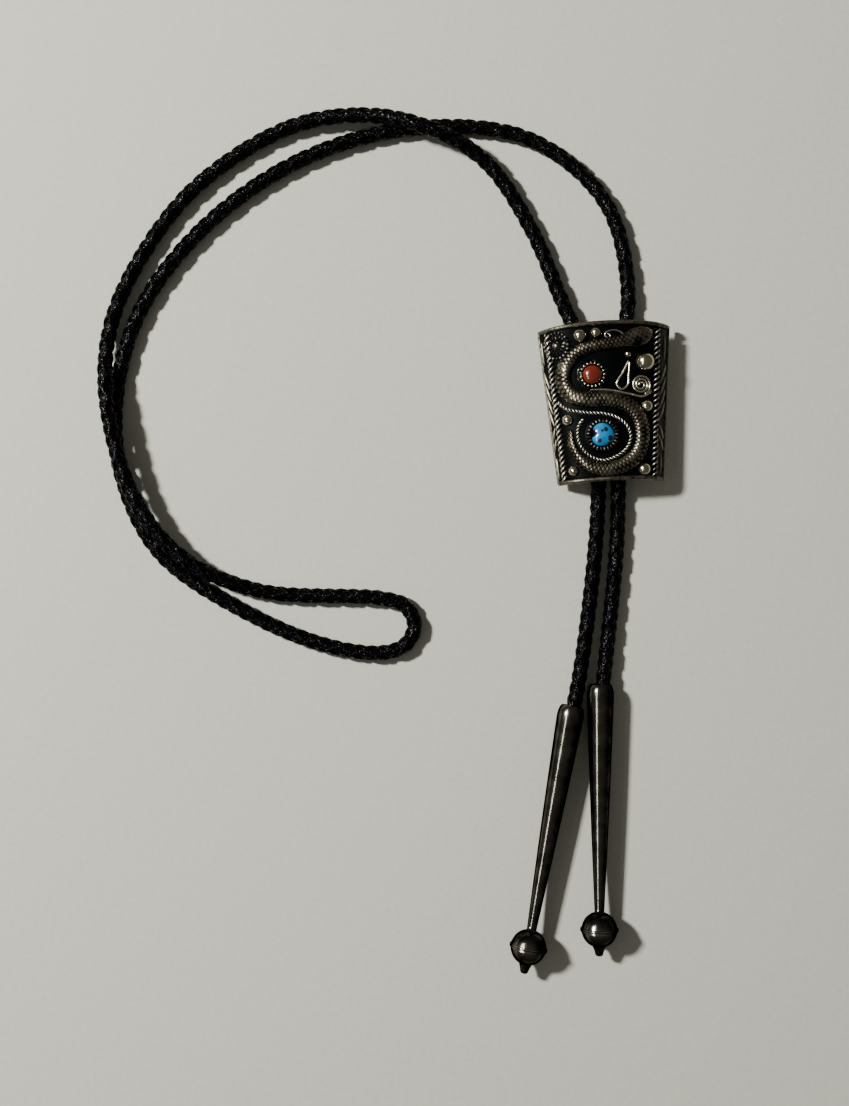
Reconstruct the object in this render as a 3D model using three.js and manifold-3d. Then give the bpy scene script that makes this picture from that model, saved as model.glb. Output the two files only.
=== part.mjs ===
// Bolo tie: a braided cord that carries a tapered slide with cast and soldered relief, and two ball tips.
// Millimetres, +Z up. The tie lies face up on a table at z = 0. The origin is on the table under the middle
// of the slide, +Y runs from the tips to the neck loop and +X is to the wearer's left of the slide.
import * as THREE from "three";
import { ParametricGeometry } from "three/addons/geometries/ParametricGeometry.js";
import { mergeVertices } from "three/addons/utils/BufferGeometryUtils.js";
import Module from "manifold-3d";

const wasm = await Module();
wasm.setup();

// Fits
const GAP = 0.3; // between pieces that touch on the real tie
const SOLDER = 0.35; // how far a soldered wire sinks into the plate
const FLAT = 0.01; // less than this is level
const SINK = 0.8; // how far the flat underside of a cast piece reaches into the plate

// Cord
const CORD_DIAMETER = 4.8;
const CORD_SIDES = 8;
const CORD_STEPS = 80;
const ROUTE_DIVISIONS = 2000; // for measuring the route
const CORD_IN_TIP = 9.5; // how far a cord end goes into its tip

// Slide plate: a sheet that is arched across and wider at the top
const PLATE_HEIGHT = 46; // along Y at the sides
const PLATE_TOP_WIDTH = 39.2;
const PLATE_BOTTOM_WIDTH = 31.2;
const PLATE_WALL = 1.2;
const PLATE_CROWN_Z = 11.2; // outer face of the arch at its middle
const PLATE_EDGE_Z = 3.2; // lowest edge of the arch
const TOP_ARCH = 1.5; // how far the middle of the top end bulges
const BOTTOM_ARCH = 0.6; // how far the middle of the bottom end is drawn in

// Rim wires, rope wires and the rope round the large stone
const RIM_WIRE = 1.3;
const ROPE_WIRE = 1.7;
const LEFT_ROPE_LINE = 0.88; // place of the left rope wire, as a share of the plate's half width
const RIGHT_ROPE_LINE = 0.78;
const COIL_WIRE = 1.1;
const THIN_WIRE = 0.8;
const WIRE_SIDES = 6;
const THIN_WIRE_SIDES = 5;
const RIM_REACH = 0.97; // how far an end rim runs towards the corners, as a share of the half width
const RIM_POINTS = 8; // on each side of the middle

// Snake
const SNAKE_WIDTH = 4.7;
const SNAKE_RISE = 1.9;
const SNAKE_SIDES = 8;
const SNAKE_STEPS = 44;
const SNAKE_ROUNDNESS = 1.1; // highest rise as a share of the half width, where the snake is thin

// Rosette and spiral
const ROSETTE_DIAMETER = 7.6;
const ROSETTE_RISE = 0.7;
const ROSETTE_BOSS_DIAMETER = 2.6;
const BALL_SIDES = 12;
const ROUND_SIDES = 20; // of the rosette and the stones
const BEZEL_SIDES = 24;
const SPIRAL_RADIUS = 2.9;
const SPIRAL_TURNS = 2.25;
const SPIRAL_START = -1.2; // radians
const SPIRAL_EYE = 0.2; // radius left in the middle, as a share

// Stones and their bezel cups
const RED_STONE_DIAMETER = 5.4;
const BLUE_STONE_DIAMETER = 6.9;
const STONE_DOME = 1.8;
const STONE_GIRDLE = 1.3;
const BEZEL_WALL = 0.7;
const BEZEL_HEIGHT = 1.4; // above the plate's face
const BEZEL_FLOOR = 0.5;

// Back clip: one plain band round both cords
const CLIP_LENGTH = 13;
const CLIP_WALL = 1.15;
const CLIP_CENTRE_Y = -1;
const CLIP_NECK_WIDTH = 8;
const CLIP_CLEARANCE = 0.5; // round the cords
const CORD_PITCH = 5.6; // between the two cords inside the clip

// Tips
const TIP_MOUTH_DIAMETER = 8.3;
const TIP_NECK_DIAMETER = 2.9;
const TIP_CONE_LENGTH = 67.5;
const TIP_WALL = 0.6;
const TIP_SEAT_CLEARANCE = 0.4; // round the cord where the cone grips it
const BALL_DIAMETER = 10.6;
const BALL_RING_DIAMETER = 11.4;
const BALL_RING_WIDTH = 1.1;
const NUB_DIAMETER = 2.6;
const NUB_LENGTH = 2.3;
const NUB_SHOULDER = { width: 0.8, at: 0.7 }; // shares of the nub's width and length
const MOUTH_LIP = { width: 0.99, at: 0.03 }; // shares of the mouth's width and the cone's length
const CONE_WAIST = { width: 0.55, at: 0.42 }; // shares of the taper and of the cone's length
const ROUND_BANDS = 5; // facets from the top of a ball or a dome to its edge
const TIP_SIDES = 16;

// Where the tips lie: the middle of the mouth, and the turn of the tip about the vertical in degrees
const LEFT_TIP = { mouthX: -14.6, mouthY: -88.4, swing: -13.1 };
const RIGHT_TIP = { mouthX: -5.9, mouthY: -82.4, swing: -3.1 };

const SILVER = new THREE.MeshStandardMaterial({ color: 0x8b8577, roughness: 0.38, metalness: 1 });
const CLIP_STEEL = new THREE.MeshStandardMaterial({ color: 0xa9a9a6, roughness: 0.3, metalness: 1 });
const TIP_SILVER = new THREE.MeshStandardMaterial({ color: 0x5e5a50, roughness: 0.28, metalness: 1 });
const BLACK_LEATHER = new THREE.MeshStandardMaterial({ color: 0x0b0b0c, roughness: 0.45, metalness: 0 });
const CORAL = new THREE.MeshStandardMaterial({ color: 0xa8361f, roughness: 0.25, metalness: 0 });
const TURQUOISE = new THREE.MeshStandardMaterial({ color: 0x2196c4, roughness: 0.3, metalness: 0 });

// The cord's route from end to end: left tip, slide, neck loop, slide, right tip.
const CORD_ROUTE = [
  [-16.5, -97.2, 4.4],
  [-11.6, -78.3, 3.1],
  [-4.9, -38.0, 2.5],
  [-2.8, -8.0, 3.9],
  [-2.8, 6.0, 3.9],
  [-12.3, 33.3, 2.8],
  [-20.0, 54.1, 2.5],
  [-32.6, 74.2, 4.2],
  [-49.4, 84.2, 8.1],
  [-68.1, 89.5, 5.4],
  [-91.0, 87.5, 2.8],
  [-119.5, 71.1, 2.6],
  [-137.9, 49.1, 2.7],
  [-146.7, 29.6, 4.0],
  [-147.8, 7.0, 7.7],
  [-141.0, -21.1, 7.5],
  [-128.0, -38.8, 6.2],
  [-106.4, -49.8, 2.9],
  [-69.3, -54.0, 2.5],
  [-62.8, -56.5, 2.5],
  [-60.3, -62.5, 2.5],
  [-63.4, -68.1, 2.5],
  [-70.1, -70.1, 2.5],
  [-84.3, -67.9, 2.5],
  [-107.7, -57.7, 2.5],
  [-135.1, -37.3, 2.5],
  [-145.5, -13.5, 2.5],
  [-146.1, 8.9, 2.5],
  [-138.0, 34.5, 2.5],
  [-117.1, 59.5, 2.5],
  [-86.4, 78.4, 2.5],
  [-52.3, 85.8, 2.5],
  [-19.0, 80.7, 2.5],
  [2.4, 61.1, 2.5],
  [8.0, 34.5, 2.7],
  [2.8, 6.0, 3.9],
  [2.8, -8.0, 3.9],
  [1.2, -40.1, 2.5],
  [-3.7, -74.2, 2.9],
  [-6.6, -91.8, 4.4],
];

// Places on the slide's face, from its middle: a share of the half width there, then of the half height.
// The snake's rows and the balls' rows end with a width or a diameter, as a share of the snake's width.
const SNAKE_ROUTE = [
  [-0.7, -0.296, 0.3],
  [-0.704, -0.487, 0.5],
  [-0.602, -0.665, 0.68],
  [-0.387, -0.787, 0.82],
  [-0.088, -0.826, 0.92],
  [0.243, -0.77, 1],
  [0.482, -0.613, 1],
  [0.547, -0.391, 1],
  [0.475, -0.174, 1],
  [0.279, -0.017, 1],
  [-0.023, 0.065, 1],
  [-0.361, 0.074, 1],
  [-0.626, 0.139, 1],
  [-0.732, 0.287, 1],
  [-0.701, 0.478, 0.96],
  [-0.518, 0.652, 0.9],
  [-0.241, 0.743, 0.82],
  [0.031, 0.774, 0.78],
  [0.25, 0.8, 0.86],
  [0.426, 0.83, 1.3],
  [0.589, 0.874, 1.12],
  [0.72, 0.926, 0.2],
];
const BALLS = [
  [-0.408, 0.887, 0.89],
  [-0.165, 0.913, 0.72],
  [0.585, 0.522, 1.19],
  [0.617, -0.043, 0.77],
  [-0.719, -0.174, 0.72],
  [-0.709, -0.826, 0.68],
  [0.578, -0.843, 0.81],
  [0.313, 0.622, 0.43],
];
const RED_STONE_PLACE = [-0.267, 0.378];
const BLUE_STONE_PLACE = [-0.161, -0.391];
const ROSETTE_PLACE = [-0.762, 0.783];
const SPIRAL_PLACE = [0.52, 0.23];
const BLUE_COIL_ROUTE = [
  [-0.84, 0.07],
  [-0.718, -0.03],
  [-0.425, -0.096],
  [-0.115, -0.122],
  [0.128, -0.187],
  [0.288, -0.304],
  [0.335, -0.443],
  [0.249, -0.583],
  [0.049, -0.678],
  [-0.185, -0.713],
  [-0.399, -0.652],
  [-0.538, -0.53],
  [-0.582, -0.387],
  [-0.55, -0.261],
  [-0.47, -0.183],
];
const TAIL_WIRE_ROUTE = [
  [-0.311, 0.196],
  [-0.045, 0.183],
  [0.303, 0.122],
  [0.552, 0.083],
  [0.694, 0.139],
];
const DROP_ROUTE = [
  [0.321, 0.535],
  [0.218, 0.387],
  [0.122, 0.252],
  [0.2, 0.183],
  [0.299, 0.235],
  [0.322, 0.374],
  [0.338, 0.526],
];
const SCROLL_ROUTE = [
  [0.098, 0.865],
  [0.057, 0.826],
  [0, 0.852],
  [0.021, 0.917],
  [0.113, 0.939],
  [0.206, 0.909],
];

// Drop of the arch below its crown, by share of the half width
const ARCH = [
  { at: 0, drop: 0 },
  { at: 0.25, drop: 0.02 },
  { at: 0.5, drop: 0.08 },
  { at: 0.68, drop: 0.18 },
  { at: 0.8, drop: 0.33 },
  { at: 0.9, drop: 0.6 },
  { at: 1, drop: 1 },
];

function halfWidthAt(y) {
  const share = (y + PLATE_HEIGHT / 2) / PLATE_HEIGHT;
  return (PLATE_BOTTOM_WIDTH + (PLATE_TOP_WIDTH - PLATE_BOTTOM_WIDTH) * share) / 2;
}

function archDrop(share) {
  const s = Math.min(Math.abs(share), 1);
  const after = ARCH.findIndex((row) => row.at >= s);
  if (after === 0) return 0;
  const low = ARCH[after - 1];
  const high = ARCH[after];
  const part = (s - low.at) / (high.at - low.at);
  return low.drop + (high.drop - low.drop) * part;
}

// Millimetres from the slide's middle of a place given as shares.
function onFace([across, along]) {
  const y = (along * PLATE_HEIGHT) / 2;
  return [across * halfWidthAt(y), y];
}

// Height of the slide's outer face over a point.
function faceZ(x, y) {
  return PLATE_CROWN_Z - (PLATE_CROWN_Z - PLATE_EDGE_Z) * archDrop(x / halfWidthAt(y));
}

// A closed geometry as a solid for joining and cutting.
function solid(geometry) {
  const bare = geometry.clone();
  bare.deleteAttribute("normal");
  bare.deleteAttribute("uv");
  const merged = mergeVertices(bare, 1e-4);
  const corners = merged.index.array;
  const kept = [];
  for (let i = 0; i < corners.length; i += 3) {
    const [a, b, c] = [corners[i], corners[i + 1], corners[i + 2]];
    if (a !== b && b !== c && a !== c) kept.push(a, b, c);
  }
  const made = new wasm.Manifold(
    new wasm.Mesh({
      numProp: 3,
      vertProperties: merged.attributes.position.array,
      triVerts: new Uint32Array(kept),
    }),
  );
  return made;
}

function geometryOf(made) {
  const mesh = made.getMesh();
  return new THREE.BufferGeometry()
    .setAttribute("position", new THREE.BufferAttribute(new Float32Array(mesh.vertProperties), 3))
    .setIndex(new THREE.BufferAttribute(new Uint32Array(mesh.triVerts), 1));
}

function namedMesh(name, geometry, material) {
  const mesh = new THREE.Mesh(geometry, material);
  mesh.name = name;
  return mesh;
}

// A round section with a corner straight down.
function roundSection(radius, sides) {
  const corners = [];
  for (let i = 0; i < sides; i++) {
    const turn = (2 * Math.PI * i) / sides;
    corners.push(new THREE.Vector2(radius * Math.cos(turn), radius * Math.sin(turn)));
  }
  return new THREE.Shape(corners);
}

// A wire of constant thickness soldered to the face, along points given as x, y.
function faceWire(points, thickness, steps, sides = WIRE_SIDES) {
  const lift = thickness / 2 - SOLDER;
  const middle = points.map(([x, y]) => new THREE.Vector3(x, y, faceZ(x, y) + lift));
  const path = new THREE.CatmullRomCurve3(middle);
  const section = roundSection(thickness / 2, sides);
  return solid(new THREE.ExtrudeGeometry(section, { steps, extrudePath: path, bevelEnabled: false }));
}

// The arched sheet, extruded along Y and then drawn out to its taper and its curved ends.
function plateSolid() {
  const rows = [];
  for (let i = -ARCH.length + 1; i < ARCH.length; i++) {
    const row = ARCH[Math.abs(i)];
    rows.push({ at: Math.sign(i) * row.at, drop: row.drop });
  }
  const rise = PLATE_CROWN_Z - PLATE_EDGE_Z;
  const outer = rows.map((row) => new THREE.Vector2(row.at, PLATE_CROWN_Z - rise * row.drop));
  const inset = 1 - (2 * PLATE_WALL) / PLATE_TOP_WIDTH;
  const inner = rows.map((row) => {
    const z = PLATE_CROWN_Z - PLATE_WALL - (rise - PLATE_WALL) * row.drop;
    return new THREE.Vector2(row.at * inset, z);
  });
  const section = new THREE.Shape([...outer, ...inner.reverse()].reverse());
  const sheet = new THREE.ExtrudeGeometry(section, { depth: 1, steps: 10, bevelEnabled: false });
  const spots = sheet.attributes.position;
  for (let i = 0; i < spots.count; i++) {
    const across = spots.getX(i);
    const z = spots.getY(i);
    const along = 1 - spots.getZ(i);
    const bulge = 1 - across * across;
    const low = -PLATE_HEIGHT / 2 + BOTTOM_ARCH * bulge;
    const high = PLATE_HEIGHT / 2 + TOP_ARCH * bulge;
    const y = low + (high - low) * along;
    spots.setXYZ(i, across * halfWidthAt(low + (high - low) * along), y, z);
  }
  return solid(sheet);
}

// The plate's end rims and the rope wires beside its face.
function endRim(end) {
  const points = [];
  for (let i = -RIM_POINTS; i <= RIM_POINTS; i++) {
    const across = (i / RIM_POINTS) * RIM_REACH;
    const bulge = 1 - across * across;
    const inset = RIM_WIRE / 2;
    const top = PLATE_HEIGHT / 2 + TOP_ARCH * bulge - inset;
    const bottom = -PLATE_HEIGHT / 2 + BOTTOM_ARCH * bulge + inset;
    const y = end > 0 ? top : bottom;
    points.push([across * halfWidthAt(y), y]);
  }
  return faceWire(points, RIM_WIRE, 20);
}

function ropeLine(share) {
  const points = [];
  for (let i = 0; i <= 6; i++) {
    const y = (PLATE_HEIGHT - 2 * RIM_WIRE) * (i / 6 - 0.5);
    points.push([share * halfWidthAt(y), y]);
  }
  return faceWire(points, ROPE_WIRE, 8);
}

// The snake: a half-round body that swells from the tail, with a leaf-shaped head.
function snakeSolid() {
  const spots = SNAKE_ROUTE.map(onFace);
  const path = new THREE.CatmullRomCurve3(spots.map(([x, y]) => new THREE.Vector3(x, y, faceZ(x, y))));
  const last = SNAKE_ROUTE.length - 1;
  const widthAt = (t) => {
    const place = Math.min(t * last, last - 1e-6);
    const row = Math.floor(place);
    const part = place - row;
    const share = SNAKE_ROUTE[row][2] * (1 - part) + SNAKE_ROUTE[row + 1][2] * part;
    return (share * SNAKE_WIDTH) / 2;
  };
  const body = (u, v, target) => {
    const t = Math.min(Math.max(v, 0), 1);
    const along = path.getTangent(t);
    const side = new THREE.Vector3(-along.y, along.x, 0).normalize();
    const end = v <= 0 || v >= 1 ? 0 : 1;
    const half = widthAt(t) * end;
    const turn = 2 * Math.PI * u;
    const reach = Math.sin(turn) > 0 ? Math.min(SNAKE_RISE, half * SNAKE_ROUNDNESS) : SINK;
    const lift = Math.sin(turn) * reach * end;
    target.copy(path.getPoint(t)).addScaledVector(side, half * Math.cos(turn));
    target.z = faceZ(target.x, target.y) + lift;
  };
  return solid(new ParametricGeometry(body, SNAKE_SIDES, SNAKE_STEPS));
}

// A ball soldered on the face, with its hidden underside flattened.
function ballSolid(place, diameter) {
  const [x, y] = onFace(place);
  const ball = new THREE.SphereGeometry(diameter / 2, BALL_SIDES, BALL_SIDES / 2);
  ball.rotateX(Math.PI / 2);
  const spots = ball.attributes.position;
  const level = faceZ(x, y);
  for (let i = 0; i < spots.count; i++) {
    const height = spots.getZ(i);
    const under = faceZ(x + spots.getX(i), y + spots.getY(i)) + (2 * SINK * height) / diameter;
    spots.setZ(i, height < -FLAT ? under : level + height);
  }
  ball.translate(x, y, 0);
  return solid(ball);
}

function rosetteSolid() {
  const [x, y] = onFace(ROSETTE_PLACE);
  const radius = ROSETTE_DIAMETER / 2;
  const disc = new THREE.CylinderGeometry(radius, radius, ROSETTE_RISE, ROUND_SIDES);
  disc.rotateX(Math.PI / 2);
  disc.translate(x, y, 0);
  const spots = disc.attributes.position;
  for (let i = 0; i < spots.count; i++) {
    const lift = spots.getZ(i) > 0 ? ROSETTE_RISE : -SINK;
    spots.setZ(i, faceZ(spots.getX(i), spots.getY(i)) + lift);
  }
  return solid(disc).add(ballSolid(ROSETTE_PLACE, ROSETTE_BOSS_DIAMETER));
}

function spiralRoute() {
  const points = [];
  const [x, y] = onFace(SPIRAL_PLACE);
  const count = Math.round(SPIRAL_TURNS * 10);
  for (let i = 0; i <= count; i++) {
    const part = i / count;
    const turn = 2 * Math.PI * SPIRAL_TURNS * part + SPIRAL_START;
    const reach = SPIRAL_RADIUS * (1 - (1 - SPIRAL_EYE) * part);
    points.push([x + reach * Math.cos(turn), y + reach * Math.sin(turn)]);
  }
  return points;
}

// A bezel cup: the ring is joined to the plate and its floor lies GAP under the stone.
function bezelParts(place, stoneDiameter) {
  const [x, y] = onFace(place);
  const inside = stoneDiameter / 2 + GAP;
  const outside = inside + BEZEL_WALL;
  const top = faceZ(x, y) + BEZEL_HEIGHT;
  const floor = top - STONE_GIRDLE - GAP;
  const wall = new THREE.CylinderGeometry(outside, outside, top - floor + BEZEL_FLOOR, BEZEL_SIDES);
  wall.rotateX(Math.PI / 2);
  wall.translate(x, y, (top + floor - BEZEL_FLOOR) / 2);
  const hollow = new THREE.CylinderGeometry(inside, inside, 2 * (top - floor), BEZEL_SIDES);
  hollow.rotateX(Math.PI / 2);
  hollow.translate(x, y, top);
  return { wall: solid(wall), hollow: solid(hollow), stoneSeat: new THREE.Vector3(x, y, floor + GAP) };
}

function slideGeometry() {
  const red = bezelParts(RED_STONE_PLACE, RED_STONE_DIAMETER);
  const blue = bezelParts(BLUE_STONE_PLACE, BLUE_STONE_DIAMETER);
  let made = plateSolid();
  const soldered = [
    endRim(1),
    endRim(-1),
    ropeLine(-LEFT_ROPE_LINE),
    ropeLine(RIGHT_ROPE_LINE),
    snakeSolid(),
    rosetteSolid(),
    faceWire(BLUE_COIL_ROUTE.map(onFace), COIL_WIRE, 36, THIN_WIRE_SIDES),
    faceWire(spiralRoute(), THIN_WIRE, 32, THIN_WIRE_SIDES),
    faceWire(TAIL_WIRE_ROUTE.map(onFace), THIN_WIRE, 8, THIN_WIRE_SIDES),
    faceWire(DROP_ROUTE.map(onFace), THIN_WIRE, 16, THIN_WIRE_SIDES),
    faceWire(SCROLL_ROUTE.map(onFace), THIN_WIRE, 16, THIN_WIRE_SIDES),
    ...BALLS.map(([across, along, size]) => ballSolid([across, along], size * SNAKE_WIDTH)),
    red.wall,
    blue.wall,
  ];
  for (const piece of soldered) made = made.add(piece);
  made = made.subtract(red.hollow).subtract(blue.hollow);
  return { geometry: geometryOf(made), redSeat: red.stoneSeat, blueSeat: blue.stoneSeat };
}

// A cabochon: a flat base, a straight girdle and a low dome.
function cabochon(diameter) {
  const radius = diameter / 2;
  const profile = [new THREE.Vector2(0, 0), new THREE.Vector2(radius, 0)];
  profile.push(new THREE.Vector2(radius, STONE_GIRDLE));
  const bands = ROUND_BANDS;
  for (let i = 1; i <= bands; i++) {
    const turn = (Math.PI / 2) * (i / bands);
    const reach = i === bands ? 0 : radius * Math.cos(turn);
    profile.push(new THREE.Vector2(reach, STONE_GIRDLE + STONE_DOME * Math.sin(turn)));
  }
  const stone = new THREE.LatheGeometry(profile, ROUND_SIDES);
  stone.rotateX(Math.PI / 2);
  return stone;
}

// The back clip: a band round the cords' channel, with a neck up to the plate.
function clipGeometry() {
  const cordZ = CLIP_WALL + CLIP_CLEARANCE + CORD_DIAMETER / 2;
  const channel = CORD_DIAMETER / 2 + CLIP_CLEARANCE;
  const outer = channel + CLIP_WALL;
  const half = CORD_PITCH / 2;
  const archAtNeck = archDrop(CLIP_NECK_WIDTH / PLATE_BOTTOM_WIDTH) * PLATE_CROWN_Z;
  const neckTop = PLATE_CROWN_Z - PLATE_WALL - archAtNeck - GAP;
  const band = new THREE.Shape();
  band.moveTo(-half, cordZ - outer);
  band.lineTo(half, cordZ - outer);
  band.absarc(half, cordZ, outer, -Math.PI / 2, Math.PI / 2, false);
  band.lineTo(CLIP_NECK_WIDTH / 2, cordZ + outer);
  band.lineTo(CLIP_NECK_WIDTH / 2, neckTop);
  band.lineTo(-CLIP_NECK_WIDTH / 2, neckTop);
  band.lineTo(-CLIP_NECK_WIDTH / 2, cordZ + outer);
  band.absarc(-half, cordZ, outer, Math.PI / 2, (3 * Math.PI) / 2, false);
  const slot = new THREE.Path();
  slot.moveTo(-half, cordZ - channel);
  slot.absarc(-half, cordZ, channel, (3 * Math.PI) / 2, Math.PI / 2, true);
  slot.lineTo(half, cordZ + channel);
  slot.absarc(half, cordZ, channel, Math.PI / 2, -Math.PI / 2, true);
  band.holes.push(slot);
  const clip = new THREE.ExtrudeGeometry(band, { depth: CLIP_LENGTH, curveSegments: 8, bevelEnabled: false });
  clip.rotateX(Math.PI / 2);
  clip.translate(0, CLIP_CENTRE_Y + CLIP_LENGTH / 2, 0);
  return clip;
}

// A tip: a hollow cone that grips the cord's end, a ball with a raised ring and an end nub, on its own axis.
function tipGeometry() {
  const mouth = TIP_MOUTH_DIAMETER / 2;
  const neck = TIP_NECK_DIAMETER / 2;
  const ball = BALL_DIAMETER / 2;
  const ring = BALL_RING_DIAMETER / 2;
  const seat = CORD_DIAMETER / 2 + TIP_SEAT_CLEARANCE;
  const depth = CORD_IN_TIP + GAP;
  const neckAngle = Math.asin(neck / ball);
  const ballCentre = TIP_CONE_LENGTH + ball * Math.cos(neckAngle);
  const profile = [];
  const add = (radius, along) => profile.push(new THREE.Vector2(radius, -along));
  add(0, depth);
  add(seat, depth);
  add(mouth - TIP_WALL, 0);
  add(mouth, 0);
  add(mouth * MOUTH_LIP.width, TIP_CONE_LENGTH * MOUTH_LIP.at);
  add(neck + (mouth - neck) * CONE_WAIST.width, TIP_CONE_LENGTH * CONE_WAIST.at);
  add(neck, TIP_CONE_LENGTH);
  const bands = ROUND_BANDS;
  const ringEdge = Math.asin(BALL_RING_WIDTH / 2 / ball);
  const onBall = (angle) => add(ball * Math.sin(angle), ballCentre - ball * Math.cos(angle));
  for (let i = 1; i <= bands; i++) onBall(neckAngle + ((Math.PI / 2 - ringEdge - neckAngle) * i) / bands);
  add(ring, ballCentre - BALL_RING_WIDTH / 4);
  add(ring, ballCentre + BALL_RING_WIDTH / 4);
  const nubAngle = Math.asin(NUB_DIAMETER / BALL_DIAMETER);
  for (let i = 0; i <= bands; i++) {
    onBall(Math.PI / 2 + ringEdge + ((Math.PI / 2 - ringEdge - nubAngle) * i) / bands);
  }
  const nubStart = ballCentre + ball * Math.cos(nubAngle);
  add((NUB_DIAMETER / 2) * NUB_SHOULDER.width, nubStart + NUB_LENGTH * NUB_SHOULDER.at);
  add(0, nubStart + NUB_LENGTH);
  return { geometry: new THREE.LatheGeometry(profile.reverse(), TIP_SIDES), ballCentre };
}

// Lays a tip on the table, on the edge of its mouth and on its ball's ring.
function layTip(name, { mouthX, mouthY, swing }) {
  const { geometry, ballCentre } = tipGeometry();
  const tilt = Math.asin((BALL_RING_DIAMETER - TIP_MOUTH_DIAMETER) / 2 / ballCentre);
  const tip = namedMesh(name, geometry, TIP_SILVER);
  tip.rotation.set(-tilt, 0, 0);
  const turned = new THREE.Group();
  turned.rotation.z = THREE.MathUtils.degToRad(swing);
  turned.position.set(mouthX, mouthY, (TIP_MOUTH_DIAMETER / 2) * Math.cos(tilt));
  turned.add(tip);
  return turned;
}

function cordGeometry() {
  const path = new THREE.CatmullRomCurve3(CORD_ROUTE.map(([x, y, z]) => new THREE.Vector3(x, y, z)));
  path.arcLengthDivisions = ROUTE_DIVISIONS;
  return new THREE.ExtrudeGeometry(roundSection(CORD_DIAMETER / 2, CORD_SIDES), {
    steps: CORD_STEPS,
    extrudePath: path,
    bevelEnabled: false,
  });
}

const group = new THREE.Group();

const slide = slideGeometry();
group.add(namedMesh("slide", slide.geometry, SILVER));

const redStone = namedMesh("red_stone", cabochon(RED_STONE_DIAMETER), CORAL);
redStone.position.copy(slide.redSeat);
group.add(redStone);

const blueStone = namedMesh("blue_stone", cabochon(BLUE_STONE_DIAMETER), TURQUOISE);
blueStone.position.copy(slide.blueSeat);
group.add(blueStone);

group.add(namedMesh("back_clip", clipGeometry(), CLIP_STEEL));
group.add(namedMesh("cord", cordGeometry(), BLACK_LEATHER));
group.add(layTip("left_tip", LEFT_TIP));
group.add(layTip("right_tip", RIGHT_TIP));

export default group;
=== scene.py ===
"""Bolo tie with a black oxidised silver slide, a braided leather cord and two ball tips.
Lengths in the tables and values below are millimetres. Meshes and settings are in metres."""

import math

import bpy
import numpy as np
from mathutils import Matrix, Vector


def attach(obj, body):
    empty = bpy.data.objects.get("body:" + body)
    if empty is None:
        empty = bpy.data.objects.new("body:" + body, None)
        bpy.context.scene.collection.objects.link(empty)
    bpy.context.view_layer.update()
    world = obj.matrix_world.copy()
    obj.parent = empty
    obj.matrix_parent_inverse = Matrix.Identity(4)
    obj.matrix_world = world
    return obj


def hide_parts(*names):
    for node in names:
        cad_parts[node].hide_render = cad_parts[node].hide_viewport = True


bl_info = {
    "name": "Bolo tie",
    "version": (1, 0, 0),
    "blender": (4, 5, 0),
    "location": "View3D > Sidebar > Bolo tie",
    "description": "Braided cord, oxidised silver slide and ball tips",
    "category": "Add Mesh",
}

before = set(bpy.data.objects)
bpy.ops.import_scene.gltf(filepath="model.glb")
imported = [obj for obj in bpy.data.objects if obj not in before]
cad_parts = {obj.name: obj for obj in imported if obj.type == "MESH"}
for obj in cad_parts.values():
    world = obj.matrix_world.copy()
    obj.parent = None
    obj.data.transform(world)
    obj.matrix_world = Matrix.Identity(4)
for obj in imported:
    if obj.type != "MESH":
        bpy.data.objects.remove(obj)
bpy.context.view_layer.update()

MM = 0.001
BODY = "root"

# Ramp ends, and a mix node's colour sockets, which share their names with its other ones
BLACK = (0.0, 0.0, 0.0, 1.0)
WHITE = (1.0, 1.0, 1.0, 1.0)
MIX_FIRST = 6
MIX_SECOND = 7
MIX_RESULT = 2

# Fits, as in the part's source
GAP = 0.3
SOLDER = 0.35
SINK = 0.8

# Slide plate
PLATE_HEIGHT = 46.0
PLATE_TOP_WIDTH = 39.2
PLATE_BOTTOM_WIDTH = 31.2
PLATE_WALL = 1.2
PLATE_CROWN_Z = 11.2
PLATE_EDGE_Z = 3.2
TOP_ARCH = 1.5
BOTTOM_ARCH = 0.6
SHOULDER_POWER = 4.85
CROWN_FALL = 0.72
PLATE_COLUMNS = 61
PLATE_ROWS = 25
EDGE_CROWDING = 1.7
EDGE_RUB_START = 0.965
EDGE_RUB_WIDTH = 0.03
FACE_WEAR = 0.1
EDGE_WEAR = 0.6
BACK_WEAR = 0.55

# Wires
RIM_WIRE = 1.3
RIM_REACH = 0.97
RIM_POINTS = 25
EDGE_WIRE = 0.9
EDGE_LINE = 0.985
SIDE_POINTS = 13
RIM_WEAR = 0.34
ROPE_WIRE = 1.7
ROPE_SWELL = 1.08
LEFT_ROPE_LINE = 0.88
RIGHT_ROPE_LINE = 0.78
COIL_WIRE = 1.1
THIN_WIRE = 0.8
THIN_WIRE_WEAR = 0.8
FINE_WIRE = 0.8 * THIN_WIRE
SCROLL_WIRE = 0.6 * THIN_WIRE
WIRE_STEP = 0.25
WIRE_FINENESS = 24
STRAND_SIDES = 10
STEPS_IN_A_TWIST = 14.0

# Snake
SNAKE_WIDTH = 4.7
SNAKE_RISE = 1.9
SCALE_LENGTH = 1.25
SCALE_ROWS = 6
SCALE_RELIEF = 0.1
SCALE_STEEPNESS = 1.5
SCALE_GROUND = 0.7
SNAKE_ARC = 30
SNAKE_FINENESS = 1600
SNAKE_STEP = 0.18
SNAKE_END_STEPS = 4
SNAKE_ROUNDNESS = 1.1
SNAKE_FOOT = 0.9
HEAD_RIDGE = 0.95
HEAD_RIDGE_WIDTH = 0.16
HEAD_PLATE_HEIGHT = 0.55
# Wear of the hollows, and what the crests add
SNAKE_LEAST_WEAR = 0.08
HEAD_WEAR = (0.22, 0.45)
BODY_WEAR = (0.14, 0.46)

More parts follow.
